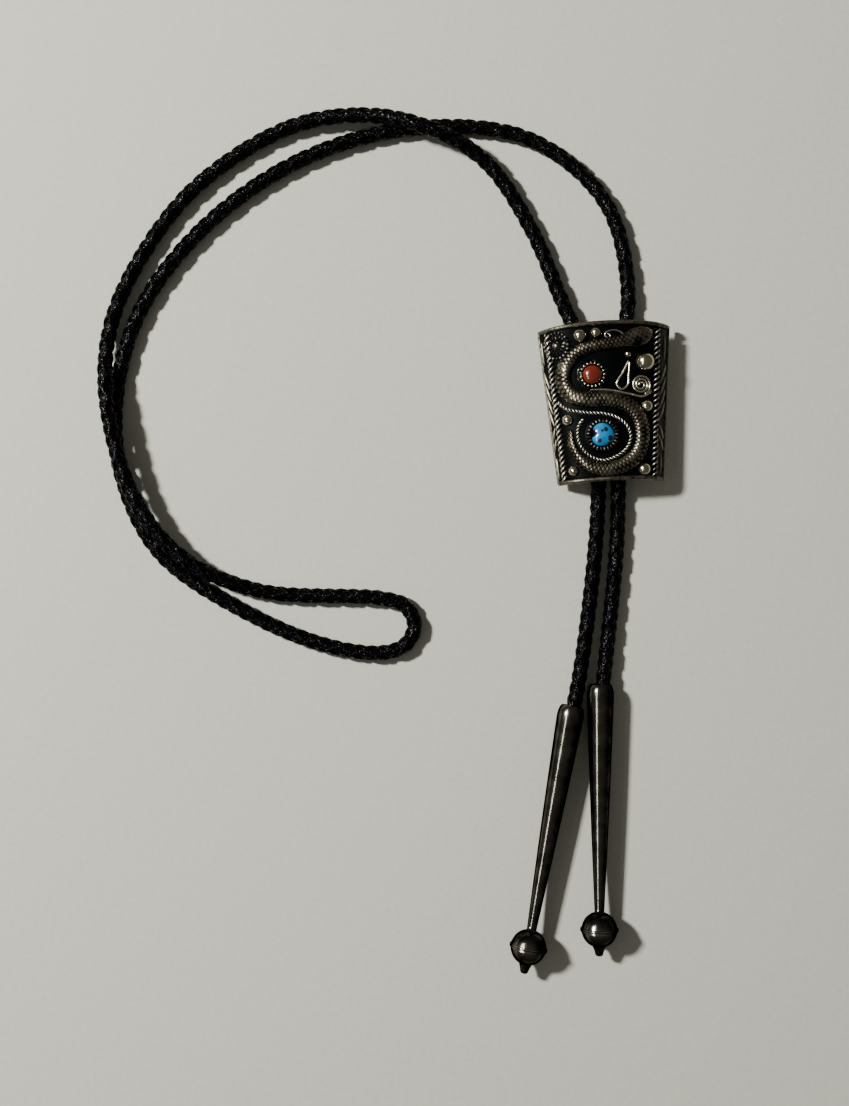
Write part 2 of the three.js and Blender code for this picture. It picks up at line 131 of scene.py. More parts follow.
# Stones and bezel cups
RED_STONE = (-4.9, 8.7)
RED_DIAMETER = 5.4
BLUE_STONE = (-2.7, -9.0)
BLUE_DIAMETER = 6.9
STONE_DOME = 1.8
STONE_GIRDLE = 1.3
STONE_SIDES = 72
STONE_BANDS = 20
STONE_FIT = 0.12
NOTCH_TURN = 3.05
NOTCH_WIDTH = 0.28
NOTCH_DEPTH = 0.24
BEZEL_WALL = 0.7
BEZEL_HEIGHT = 1.4
BEZEL_SIDES = 64
SEAT_WIDTH = 0.8
TOOTH_WIDTH = 0.62
TOOTH_HEIGHT = 0.9
TOOTH_LEAN = 0.5
# Specks of host rock in the blue stone: place from its middle and size, as shares of its radius
ROCK_SPECKS = [
    (0.25, 0.42, 0.17),
    (-0.08, 0.34, 0.1),
    (0.6, -0.33, 0.2),
    (-0.33, -0.52, 0.15),
    (-0.86, 0.2, 0.3),
    (0.52, -0.78, 0.14),
]

# Tips
TIP_MOUTH_DIAMETER = 8.3
TIP_NECK_DIAMETER = 2.9
TIP_CONE_LENGTH = 67.5
TIP_SHOULDER = 3.6
TIP_BOW = 0.052
TIP_SEAT_CLEARANCE = 0.4
CORD_IN_TIP = 9.5
BALL_DIAMETER = 10.6
BALL_RING_DIAMETER = 11.4
BALL_RING_WIDTH = 1.1
NUB_DIAMETER = 2.6
NUB_LENGTH = 2.3
TIP_SIDES = 72
CONE_BANDS = 40
HALF_BALL_BANDS = 24
RING_FLARE = 0.3
RING_FLARE_WIDTH = 1.7
RING_SINK = 0.04
# Where the tips are rubbed, and where a painted highlight is laid along their side towards the lamp: lean
# from straight up in radians, then levels and widths
TIP_SHEEN_LEAN = 0.35
TIP_SHEEN_START = 0.66
TIP_SHEEN_SPREAD = 0.3
CONE_WEAR_AND_SHEEN = 0.3
TIP_BALL_WEAR_AND_SHEEN = 0.06
WAIST_WEAR_AND_SHEEN = 0.6
WAIST_SHEEN_WIDTH = 1.7
# Shape of the nub: width and place as shares of its own
NUB_SHAPE = [
    (1.55, -0.1),
    (1.42, 0.08),
    (1.25, 0.28),
    (1.1, 0.5),
    (1.0, 0.72),
    (0.92, 0.92),
    (0.74, 1.08),
    (0.42, 1.17),
    (0.01, 1.2),
]
# Each tip's mouth and its turn in degrees
LEFT_TIP = (-14.6, -88.4, -13.1)
RIGHT_TIP = (-5.9, -82.4, -3.1)

# Cord, with its laces as shares of its radius
ROUTE_FINENESS = 6000
BRAID_STEP = 0.5
CORE_STEP = 2.0
CORE_SIDES = 10
STRANDS_EACH_WAY = 2
LACE_HALF_WIDTH = 0.69
LACE_THICKNESS = 0.15
LACE_WAVE = 0.09
LACE_SIDES = 8
LACE_SQUARENESS = 0.8

# The photographer's place over the table
CAMERA_X = -56.3
CAMERA_Y = -41.0
CAMERA_HEIGHT = 450.0
CAMERA_TURN = -2.7
VIEW_WIDTH = 254.7
SENSOR_WIDTH = 36.0
NEAREST_SEEN = 10.0

# Table and lights in metres and watts: name, distance, width, height, power and direction
TABLE_REACH = 3.0
LIGHTS = [
    ("window", 1.2, 0.12, 0.12, 29.5, (0.93, -0.5, -1.0)),
    ("tube", 1.5, 2.0, 0.07, 20.0, (0.85, -0.04, -1.15)),
]
LIGHT_COLOUR = (1.0, 0.985, 0.95)
ROOM_COLOUR = "d8d4cc"
ROOM_STRENGTH = 0.21

# Middle of the cord from the left tip, through the slide and round the neck loop, to the right tip
CORD_ROUTE = [
    (-16.5, -97.2, 4.4),
    (-11.6, -78.3, 3.1),
    (-4.9, -38.0, 2.5),
    (-2.8, -8.0, 3.9),
    (-2.8, 6.0, 3.9),
    (-12.3, 33.3, 2.8),
    (-20.0, 54.1, 2.5),
    (-32.6, 74.2, 4.2),
    (-49.4, 84.2, 8.1),
    (-68.1, 89.5, 5.4),
    (-91.0, 87.5, 2.8),
    (-119.5, 71.1, 2.6),
    (-137.9, 49.1, 2.7),
    (-146.7, 29.6, 4.0),
    (-147.8, 7.0, 7.7),
    (-141.0, -21.1, 7.5),
    (-128.0, -38.8, 6.2),
    (-106.4, -49.8, 2.9),
    (-69.3, -54.0, 2.5),
    (-62.8, -56.5, 2.5),
    (-60.3, -62.5, 2.5),
    (-63.4, -68.1, 2.5),
    (-70.1, -70.1, 2.5),
    (-84.3, -67.9, 2.5),
    (-107.7, -57.7, 2.5),
    (-135.1, -37.3, 2.5),
    (-145.5, -13.5, 2.5),
    (-146.1, 8.9, 2.5),
    (-138.0, 34.5, 2.5),
    (-117.1, 59.5, 2.5),
    (-86.4, 78.4, 2.5),
    (-52.3, 85.8, 2.5),
    (-19.0, 80.7, 2.5),
    (2.4, 61.1, 2.5),
    (8.0, 34.5, 2.7),
    (2.8, 6.0, 3.9),
    (2.8, -8.0, 3.9),
    (1.2, -40.1, 2.5),
    (-3.7, -74.2, 2.9),
    (-6.6, -91.8, 4.4),
]

# Middle of the snake on the slide's face, with its width as a share of the snake's width
SNAKE_ROUTE = [
    (-11.9, -6.8, 0.3),
    (-11.7, -11.2, 0.5),
    (-9.8, -15.3, 0.68),
    (-6.2, -18.1, 0.82),
    (-1.4, -19.0, 0.92),
    (3.9, -17.7, 1.0),
    (7.9, -14.1, 1.0),
    (9.2, -9.0, 1.0),
    (8.2, -4.0, 1.0),
    (4.9, -0.4, 1.0),
    (-0.4, 1.5, 1.0),
    (-6.4, 1.7, 1.0),
    (-11.2, 3.2, 1.0),
    (-13.3, 6.6, 1.0),
    (-13.0, 11.0, 0.96),
    (-9.8, 15.0, 0.9),
    (-4.6, 17.1, 0.82),
    (0.6, 17.8, 0.78),
    (4.8, 18.4, 0.86),
    (8.2, 19.1, 1.3),
    (11.4, 20.1, 1.12),
    (14.0, 21.3, 0.2),
]
HEAD_START = 18.0 / 21.0

# Balls on the slide's face: x, y, diameter
BALLS = [
    (-7.9, 20.4, 4.2),
    (-3.2, 21.0, 3.4),
    (10.9, 12.0, 5.6),
    (10.8, -1.0, 3.6),
    (-12.4, -4.0, 3.4),
    (-11.3, -19.0, 3.2),
    (9.2, -19.4, 3.8),
    (5.9, 14.3, 2.0),
]
BALL_SIDES = 32
BALL_BANDS = 18
# Wear at the widest band of a ball, and how it grows towards the top
BALL_FOOT_WEAR = 0.2
BALL_WEAR_RISE = 1.6

ROSETTE = (-14.6, 18.0)
ROSETTE_DIAMETER = 7.6
ROSETTE_RISE = 0.7
ROSETTE_REACH = 0.92
ROSETTE_BANDS = 26
ROSETTE_PETALS = 14
PETAL_SIDES = 12
PETAL_START = 0.34
PETAL_LENGTH = 0.62
BOSS_REACH = 0.22
ROSETTE_RING = 0.3
ROSETTE_RING_WIDTH = 0.06
# Levels of the rosette's ground, petals, boss and ring
ROSETTE_HEIGHTS = (0.35, 0.45, 1.1, 0.5)
ROSETTE_WEAR = (0.05, 0.2, 0.5, 0.36)
ROSETTE_BEADS = 20
BEAD_RADIUS = 0.48
BEAD_LIFT = 0.3
BEAD_SIDES = 12
BEAD_BANDS = 9
BEAD_WEAR = 0.36

COIL_ROUTE = [
    (-14.9, 1.6),
    (-12.6, -0.7),
    (-7.4, -2.2),
    (-2.0, -2.8),
    (2.2, -4.3),
    (4.9, -7.0),
    (5.6, -10.2),
    (4.1, -13.4),
    (0.8, -15.6),
    (-3.0, -16.4),
    (-6.5, -15.0),
    (-8.9, -12.2),
    (-9.8, -8.9),
    (-9.4, -6.0),
    (-8.1, -4.2),
]
SPIRAL = (9.4, 5.3)
SPIRAL_RADIUS = 2.9
SPIRAL_TURNS = 2.75
SPIRAL_START = -1.2
SPIRAL_EYE = 0.16
SPIRAL_POINTS = 40
TAIL_WIRE_ROUTE = [(-5.6, 4.5), (-0.8, 4.2), (5.4, 2.8), (9.8, 1.9), (12.4, 3.2)]
DROP_ROUTE = [(6.0, 12.3), (4.0, 8.9), (2.2, 5.8), (3.6, 4.2), (5.4, 5.4), (5.9, 8.6), (6.3, 12.1)]
SCROLL_ROUTE = [
    (0.3, 20.5),
    (0.9, 20.4),
    (0.9, 19.7),
    (0.2, 19.5),
    (-0.5, 19.9),
    (-0.5, 20.7),
    (0.3, 21.3),
    (1.6, 21.6),
    (2.9, 21.5),
    (4.2, 20.9),
    (4.9, 20.3),
]

BAND_MARGIN = 0.05
STROKE_POINTS = 14
STROKE_SIDES = 8
STROKE_LIFT = 0.05
STROKE_TIP = 0.12
STROKE_SWELL = 0.38
STROKE_WEAR = 0.44
# Each end of a stamped stroke: its place across the side band and its share of the half height
STAMPED_STROKES = [
    (0.8, 0.5, 0.05, 0.24),
    (0.8, 0.34, 0.05, 0.08),
    (0.8, 0.18, 0.05, -0.08),
    (0.8, 0.02, 0.05, -0.24),
    (0.05, -0.26, 0.8, -0.46),
    (0.05, -0.4, 0.8, -0.6),
    (0.5, 0.86, 0.5, 0.56),
    (0.5, -0.64, 0.5, -0.92),
]


# Shapes of the slide


def half_width_at(y):
    share = (y + PLATE_HEIGHT / 2) / PLATE_HEIGHT
    return (PLATE_BOTTOM_WIDTH + (PLATE_TOP_WIDTH - PLATE_BOTTOM_WIDTH) * share) / 2


def arch_drop(share):
    s = min(abs(share), 1.0)
    return s**SHOULDER_POWER + CROWN_FALL * s**2 * (1 - s) ** 2


def face_z(x, y):
    return PLATE_CROWN_Z - (PLATE_CROWN_Z - PLATE_EDGE_Z) * arch_drop(x / half_width_at(y))


def face_normal(x, y):
    step = 0.05
    slope_x = (face_z(x + step, y) - face_z(x - step, y)) / (2 * step)
    slope_y = (face_z(x, y + step) - face_z(x, y - step)) / (2 * step)
    normal = np.array([-slope_x, -slope_y, 1.0])
    return normal / np.linalg.norm(normal)


# Curves and meshes


def even_turns(count):
    """The angles of so many even steps round a circle."""
    return np.linspace(0, 2 * math.pi, count, endpoint=False)


def turned(first, second, angle):
    """Two coordinates turned together by an angle."""
    cosine = math.cos(angle)
    sine = math.sin(angle)
    return first * cosine - second * sine, first * sine + second * cosine


def smooth_route(points, count):
    """Points of a centripetal Catmull-Rom curve through the rows, as three.js draws it."""
    rows = np.array(points, float)
    last = len(rows) - 1
    made = []
    for t in np.linspace(0, last, count):
        i = min(int(t), last - 1)
        w = t - i
        before = rows[i - 1] if i > 0 else 2 * rows[0] - rows[1]
        after = rows[i + 2] if i + 2 <= last else 2 * rows[last] - rows[last - 1]
        a = rows[i]
        b = rows[i + 1]
        d0, d1, d2 = (np.sum((q - p) ** 2) ** 0.25 for p, q in ((before, a), (a, b), (b, after)))
        d0 = d0 if d0 > 1e-4 else d1
        d2 = d2 if d2 > 1e-4 else d1
        t1 = ((a - before) / d0 - (b - before) / (d0 + d1) + (b - a) / d1) * d1
        t2 = ((b - a) / d1 - (after - a) / (d1 + d2) + (after - b) / d2) * d1
        cubic = 2 * a - 2 * b + t1 + t2
        square = -3 * a + 3 * b - 2 * t1 - t2
        made.append(a + t1 * w + square * w**2 + cubic * w**3)
    return np.array(made)


def even_steps(points, step):
    """The same line with its points an even step apart, and the distance of each along it."""
    lengths = np.concatenate([[0], np.cumsum(np.linalg.norm(np.diff(points, axis=0), axis=1))])
    count = max(int(round(lengths[-1] / step)), 2)
    at = np.linspace(0, lengths[-1], count + 1)
    line = np.stack([np.interp(at, lengths, points[:, k]) for k in range(points.shape[1])], axis=1)
    return line, at


def steady_frames(line):
    """Two directions square to the line at each point, carried along it without twist."""
    along = np.gradient(line, axis=0)
    along /= np.linalg.norm(along, axis=1)[:, None]
    side = np.cross([0.0, 0.0, 1.0], along[0])
    side /= np.linalg.norm(side)
    sides = [side]
    for direction in along[1:]:
        side = sides[-1] - direction * np.dot(sides[-1], direction)
        sides.append(side / np.linalg.norm(side))
    sides = np.array(sides)
    return sides, np.cross(along, sides)


def ring_faces(rings, sides):
    """Faces of a tube of rings with its two ends closed."""
    last = (rings - 1) * sides
    faces = []
    for first in range(0, last, sides):
        for k in range(sides):
            a = first + k
            b = first + (k + 1) % sides
            faces.append((a, b, b + sides, a + sides))
    faces.append(tuple(reversed(range(sides))))
    faces.append(tuple(range(last, last + sides)))
    return faces


def tube(line, radii, sides):
    """Points and faces of a round tube along a line."""
    side, up = steady_frames(line)
    turns = even_turns(sides)
    radii = np.broadcast_to(radii, len(line))
    points = (
        line[:, None, :]
        + radii[:, None, None] * np.cos(turns)[None, :, None] * side[:, None, :]
        + radii[:, None, None] * np.sin(turns)[None, :, None] * up[:, None, :]
    )
    return points.reshape(-1, 3), ring_faces(len(line), sides)


def lathe(profile, sides):
    """Points and faces of a profile of radius and height turned about Z, closed at both ends."""
    turns = even_turns(sides)
    points = [(r * math.cos(t), r * math.sin(t), z) for r, z in profile for t in turns]
    return np.array(points), ring_faces(len(profile), sides)


def joined(parts):
    """Several pairs of points and faces as one."""
    points = []
    faces = []
    start = 0
    for spots, corners in parts:
        points.append(np.asarray(spots, float))
        faces += [tuple(start + c for c in face) for face in corners]
        start += len(spots)
    return np.concatenate(points), faces


def placed(name, data):
    """A new object in the scene."""
    made = bpy.data.objects.new(name, data)
    bpy.context.scene.collection.objects.link(made)
    return made


def finish_piece(piece, replaced=()):
    """Lets a piece ride on the body and hides the parts that it replaces."""
    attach(piece, BODY)
    if replaced:
        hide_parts(*replaced)
    return piece


def mesh_piece(name, shape, material, wear_and_sheen=1.0, replaced=()):
    """A smooth mesh piece from points in millimetres.
    Wear and sheen is 0 where the oxide stays and 1 where it is rubbed bright; on the tips it also carries
    a painted highlight along their lit upper side."""
    points, faces = shape
    mesh = bpy.data.meshes.new(name)
    mesh.from_pydata([tuple(p) for p in np.asarray(points) * MM], [], faces)
    mesh.validate()
    mesh.shade_smooth()
    rubbed = mesh.attributes.new("wear_and_sheen", "FLOAT", "POINT")
    rubbed.data.foreach_set("value", np.broadcast_to(np.asarray(wear_and_sheen, np.float32), len(points)).copy())
    mesh.materials.append(material)
    return finish_piece(placed(name, mesh), replaced)


def face_line(points, thickness):
    """A line on the slide's face at the height of a soldered wire's middle."""
    flat, _ = even_steps(smooth_route(points, WIRE_FINENESS * len(points)), WIRE_STEP)
    lift = thickness / 2 - SOLDER
    return np.array([(x, y, face_z(x, y) + lift) for x, y in flat])


def face_wire(points, thickness, sides=12):
    """A round wire soldered on the slide's face."""
    return tube(face_line(points, thickness), thickness / 2, sides)


def wire_curve(name, line):
    """A curve object along a line, for a node tree to work on."""
    curve = bpy.data.curves.new(name, "CURVE")
    curve.dimensions = "3D"
    spline = curve.splines.new("POLY")
    spline.points.add(len(line) - 1)
    for point, spot in zip(spline.points, line):
        point.co = (*(spot * MM), 1.0)
    return placed(name, curve)


# Colours and nodes


def linear(colour):
    """An sRGB hex colour as linear red, green, blue and alpha."""
    parts = [int(colour[i : i + 2], 16) / 255 for i in (0, 2, 4)]
    return (*(p / 12.92 if p <= 0.04045 else ((p + 0.055) / 1.055) ** 2.4 for p in parts), 1.0)


def add_node(tree, kind, output=None, inputs=None, stops=(), **settings):
    """Adds a node with its settings, values, links and ramp stops, and gives one output or the node."""
    made = tree.nodes.new(kind)
    for key, value in settings.items():
        setattr(made, key, value)
    for key, value in (inputs or {}).items():
        if isinstance(value, bpy.types.NodeSocket):
            tree.links.new(value, made.inputs[key])
        else:
            made.inputs[key].default_value = value
    for k, (place, colour) in enumerate(stops):
        made.color_ramp.elements[k].position = place
        made.color_ramp.elements[k].color = colour
    return made if output is None else made.outputs[output]


def new_finish(name):
    """An empty material, its node tree and the place that its patterns read."""
    material = bpy.data.materials.new(name)
    material.use_nodes = True
    tree = material.node_tree
    tree.nodes.clear()
    return material, tree, add_node(tree, "ShaderNodeTexCoord", "Object")


def shaded(material, surface):
    """Closes a finish with its shader and its output."""
    shader = add_node(material.node_tree, "ShaderNodeBsdfPrincipled", "BSDF", surface)
    add_node(material.node_tree, "ShaderNodeOutputMaterial", inputs={"Surface": shader})
    return material


# Finishes. Scales are grains to the millimetre, and what is too fine to show is drawn coarser


def silver_finish(name="rubbed_back_silver", roughness=0.24, bright=None, patches=0.9, patchy=0.7):
    """Silver dipped in liver of sulphur and rubbed back: warm on the crests, black in the hollows.
    The eye reads the relief from the sharp change between the two. Pieces share a finish by its name."""
    found = bpy.data.materials.get(name)
    if found:
        return found
    material, tree, place = new_finish(name)
    wear_and_sheen = add_node(tree, "ShaderNodeAttribute", "Fac", attribute_name="wear_and_sheen")
    cloud = add_node(
        tree, "ShaderNodeTexNoise", "Fac", {"Vector": place, "Scale": patches / MM, "Detail": 4.0}
    )
    drift = add_node(tree, "ShaderNodeMath", "Value", {0: cloud, 1: 0.5}, operation="SUBTRACT")
    spread = add_node(
        tree, "ShaderNodeMath", "Value", {0: drift, 1: patchy, 2: wear_and_sheen}, operation="MULTIPLY_ADD"
    )
    stops = [(0.28, BLACK), (0.72, WHITE)]
    rubbed = add_node(tree, "ShaderNodeValToRGB", "Color", {"Fac": spread}, stops)
    tones = {0: rubbed, MIX_FIRST: linear(colours().oxide), MIX_SECOND: linear(bright or colours().silver)}
    tone = add_node(tree, "ShaderNodeMix", MIX_RESULT, tones, data_type="RGBA")
    shine = add_node(
        tree, "ShaderNodeMapRange", "Result", {"Value": rubbed, "To Min": 0.5, "To Max": roughness}
    )
    scuffs = add_node(
        tree, "ShaderNodeTexNoise", "Fac", {"Vector": place, "Scale": 2.6 / MM, "Detail": 2.0}
    )
    bump = add_node(
        tree, "ShaderNodeBump", "Normal", {"Height": scuffs, "Strength": 0.25, "Distance": 0.08 * MM}
    )
    return shaded(material, {"Base Color": tone, "Metallic": 1.0, "Roughness": shine, "Normal": bump})


def black_leather(colour):
    """Waxed black calf lace: a deep black with a fine grain that breaks the highlight into glints."""
    material, tree, place = new_finish("waxed_calf_lace")
    grain = add_node(
        tree, "ShaderNodeTexNoise", "Fac", {"Vector": place, "Scale": 1.15 / MM, "Detail": 3.0}
    )
    stops = [(0.35, linear(colour)), (0.75, linear("070708"))]
    tone = add_node(tree, "ShaderNodeValToRGB", "Color", {"Fac": grain}, stops)
    shine = add_node(tree, "ShaderNodeMapRange", "Result", {"Value": grain, "To Min": 0.1, "To Max": 0.3})
    wax = add_node(tree, "ShaderNodeTexNoise", "Fac", {"Vector": place, "Scale": 1.9 / MM, "Detail": 1.0})
    fields = {"Value": wax, "From Min": 0.54, "From Max": 0.78, "To Min": 0.02, "To Max": 0.34}
    glints = add_node(tree, "ShaderNodeMapRange", "Result", fields)
    bump = add_node(
        tree, "ShaderNodeBump", "Normal", {"Height": grain, "Strength": 1.0, "Distance": 0.4 * MM}
    )
    skin = {"Base Color": tone, "Roughness": shine, "Normal": bump}
    return shaded(material, {**skin, "Specular IOR Level": glints})


def coral_finish(colour):
    """Polished red coral: opaque orange red with faint growth bands under a glassy polish."""
    material, tree, place = new_finish("polished_coral")
    fields = {"Vector": place, "Scale": 0.42 / MM, "Detail": 3.0, "Distortion": 0.8}
    bands = add_node(tree, "ShaderNodeTexNoise", "Fac", fields)
    stops = [(0.3, linear("581a0d")), (0.7, linear(colour))]
    tone = add_node(tree, "ShaderNodeValToRGB", "Color", {"Fac": bands}, stops)
    depth = {"Subsurface Weight": 0.08, "Subsurface Scale": 0.6 * MM}
    polish = {"Coat Weight": 0.35, "Coat Roughness": 0.12}
    return shaded(material, {"Base Color": tone, "Roughness": 0.2, "IOR": 1.49, **depth, **polish})


def turquoise_finish(colour):
    """Cut turquoise: sky blue with black host rock in specks, under a soft polish."""
    material, tree, place = new_finish("cut_turquoise")
    cloud = add_node(
        tree, "ShaderNodeTexNoise", "Fac", {"Vector": place, "Scale": 0.38 / MM, "Detail": 3.0}
    )
    stops = [(0.35, linear("0f6391")), (0.65, linear(colour))]
    tone = add_node(tree, "ShaderNodeValToRGB", "Color", {"Fac": cloud}, stops)
    rock = add_node(tree, "ShaderNodeAttribute", "Fac", attribute_name="wear_and_sheen")
    ragged = add_node(
        tree, "ShaderNodeTexNoise", "Fac", {"Vector": place, "Scale": 1.5 / MM, "Detail": 3.0}
    )
    reach = add_node(
        tree, "ShaderNodeMath", "Value", {0: ragged, 1: 0.6, 2: rock}, operation="MULTIPLY_ADD"
    )
    stops = [(0.66, BLACK), (0.82, WHITE)]
    specks = add_node(tree, "ShaderNodeValToRGB", "Color", {"Fac": reach}, stops)
    tones = {0: specks, MIX_FIRST: tone, MIX_SECOND: linear("10171c")}
    stone = add_node(tree, "ShaderNodeMix", MIX_RESULT, tones, data_type="RGBA")
    polish = {"Coat Weight": 0.3, "Coat Roughness": 0.07}
    return shaded(material, {"Base Color": stone, "Roughness": 0.22, "IOR": 1.61, **polish})


def tip_finish(colour):
    """Darkened silver sheet, rolled and polished: a painted highlight over the wear along the lit top, and
    near black down the sides, where the darkened silver also stands in for shade.
    """
    material, tree, place = new_finish("darkened_tip_silver")
    wear_and_sheen = add_node(tree, "ShaderNodeAttribute", "Fac", attribute_name="wear_and_sheen")
    smudge = add_node(
        tree, "ShaderNodeTexNoise", "Fac", {"Vector": place, "Scale": 0.26 / MM, "Detail": 5.0}
    )
    spread = add_node(
        tree, "ShaderNodeMath", "Value", {0: smudge, 1: 0.7, 2: wear_and_sheen}, operation="MULTIPLY_ADD"
    )
    rubbed = add_node(
        tree, "ShaderNodeMapRange", "Result", {"Value": spread, "From Min": 0.3, "From Max": 1.25}
    )
    # Painted highlight: the light tone goes where the lit-side mask is high, and the near black stands in
    # for shade down the sides.
    tones = {0: rubbed, MIX_FIRST: linear("161514"), MIX_SECOND: linear(colour)}
    tone = add_node(tree, "ShaderNodeMix", MIX_RESULT, tones, data_type="RGBA")
    shine = add_node(
        tree, "ShaderNodeMapRange", "Result", {"Value": smudge, "To Min": 0.1, "To Max": 0.22}
    )
    scuffs = add_node(
        tree, "ShaderNodeTexNoise", "Fac", {"Vector": place, "Scale": 1.5 / MM, "Detail": 2.0}
    )
    bump = add_node(
        tree, "ShaderNodeBump", "Normal", {"Height": scuffs, "Strength": 0.12, "Distance": 0.05 * MM}
    )
    metal = {"Metallic": 1.0, "Specular Tint": linear("6e7074")}
    return shaded(material, {"Base Color": tone, **metal, "Roughness": shine, "Normal": bump})


def clip_finish():
    """Stamped spring steel, plated: even grey with a fine rolled grain."""
    material, tree, place = new_finish("plated_clip_steel")
    drawn = add_node(tree, "ShaderNodeMapping", "Vector", {"Vector": place, "Scale": (1.0, 0.05, 1.0)})
    grain = add_node(tree, "ShaderNodeTexNoise", "Fac", {"Vector": drawn, "Scale": 3.0 / MM})
    shine = add_node(
        tree, "ShaderNodeMapRange", "Result", {"Value": grain, "To Min": 0.25, "To Max": 0.45}
    )
    bump = add_node(
        tree, "ShaderNodeBump", "Normal", {"Height": grain, "Strength": 0.15, "Distance": 0.05 * MM}
    )
    metal = {"Base Color": linear("a9a9a6"), "Metallic": 1.0}
    return shaded(material, {**metal, "Roughness": shine, "Normal": bump})


def floor_finish(colour):
    """A matt painted table top: pale warm grey with a faint uneven tooth and no gloss."""
    material, tree, place = new_finish("table_paint")
    tooth = add_node(
        tree, "ShaderNodeTexNoise", "Fac", {"Vector": place, "Scale": 0.7 / MM, "Detail": 5.0}
    )
    stops = [(0.3, linear(colour)), (0.7, linear("c4c4b8"))]
    tone = add_node(tree, "ShaderNodeValToRGB", "Color", {"Fac": tooth}, stops)
    bump = add_node(
        tree, "ShaderNodeBump", "Normal", {"Height": tooth, "Strength": 0.12, "Distance": 0.3 * MM}
    )
    return shaded(material, {"Base Color": tone, "Roughness": 0.85, "Normal": bump})


# Node trees for what repeats


def piece_tree(name, kinds):
    """A Geometry Nodes tree with an input for each name and kind, and the identifiers of its inputs."""
    tree = bpy.data.node_groups.new(name, "GeometryNodeTree")
    tree.interface.new_socket(name="Geometry", in_out="OUTPUT", socket_type="NodeSocketGeometry")
    ids = {}
    for label, kind in kinds.items():
        socket = tree.interface.new_socket(name=label, in_out="INPUT", socket_type="NodeSocket" + kind)
        ids[label] = socket.identifier
    return tree, ids


def hand_out(tree, geometry, finish):
    """Gives the geometry its finish and passes it to the tree's output."""
    dressed = add_node(
        tree, "GeometryNodeSetMaterial", "Geometry", {"Geometry": geometry, "Material": finish}
    )
    add_node(tree, "NodeGroupOutput", inputs={"Geometry": dressed})


def twisted_wire_tree():
    """Two round wires twisted together along the curve that the tree is given."""
    kinds = {
        "Route": "Geometry",
        "Rope Diameter": "Float",
        "Twist Length": "Float",
        "Rubbed": "Float",
        "Finish": "Material",
    }
    tree, ids = piece_tree("Twisted wire", kinds)
    given = add_node(tree, "NodeGroupInput").outputs
    thick = given["Rope Diameter"]
    twist = given["Twist Length"]
    step = add_node(tree, "ShaderNodeMath", "Value", {0: twist, 1: STEPS_IN_A_TWIST}, operation="DIVIDE")
    fields = {"Curve": given["Route"], "Length": step}
    even = add_node(tree, "GeometryNodeResampleCurve", "Curve", fields, mode="LENGTH")
    place = add_node(tree, "GeometryNodeSplineParameter", "Length")
    turns = add_node(tree, "ShaderNodeMath", "Value", {0: place, 1: twist}, operation="DIVIDE")
    angle = add_node(tree, "ShaderNodeMath", "Value", {0: turns, 1: 2 * math.pi}, operation="MULTIPLY")
    twisted = add_node(tree, "GeometryNodeSetCurveTilt", "Curve", {"Curve": even, "Tilt": angle})
    quarter = add_node(tree, "ShaderNodeMath", "Value", {0: thick, 1: 0.25}, operation="MULTIPLY")
    back = add_node(tree, "ShaderNodeMath", "Value", {0: quarter, 1: -1.0}, operation="MULTIPLY")
    half = add_node(tree, "ShaderNodeMath", "Value", {0: thick, 1: 0.5}, operation="MULTIPLY")
    strand = add_node(
        tree, "GeometryNodeCurvePrimitiveCircle", "Curve", {"Resolution": STRAND_SIDES, "Radius": quarter}
    )
    strands = add_node(tree, "GeometryNodeJoinGeometry")
    for offset in (quarter, back):
        shift = add_node(tree, "ShaderNodeCombineXYZ", "Vector", {"X": offset})
        moved = add_node(
            tree, "GeometryNodeTransform", "Geometry", {"Geometry": strand, "Translation": shift}
        )
        tree.links.new(moved, strands.inputs["Geometry"])
    spot = add_node(tree, "GeometryNodeInputPosition", "Position")
    reach = add_node(tree, "ShaderNodeVectorMath", "Value", {0: spot}, operation="LENGTH")
    fields = {"Value": reach, "From Min": quarter, "From Max": half, "To Max": given["Rubbed"]}
    crest = add_node(tree, "ShaderNodeMapRange", "Result", fields)
    fields = {"Geometry": strands.outputs["Geometry"], "Name": "wear_and_sheen", "Value": crest}
    profile = add_node(tree, "GeometryNodeStoreNamedAttribute", "Geometry", fields)
    fields = {"Curve": twisted, "Profile Curve": profile, "Fill Caps": True}
    swept = add_node(tree, "GeometryNodeCurveToMesh", "Mesh", fields)
    smooth = add_node(tree, "GeometryNodeSetShadeSmooth", "Geometry", {"Geometry": swept})
    real = add_node(tree, "GeometryNodeRealizeInstances", "Geometry", {"Geometry": smooth})
    hand_out(tree, real, given["Finish"])
    return tree, ids


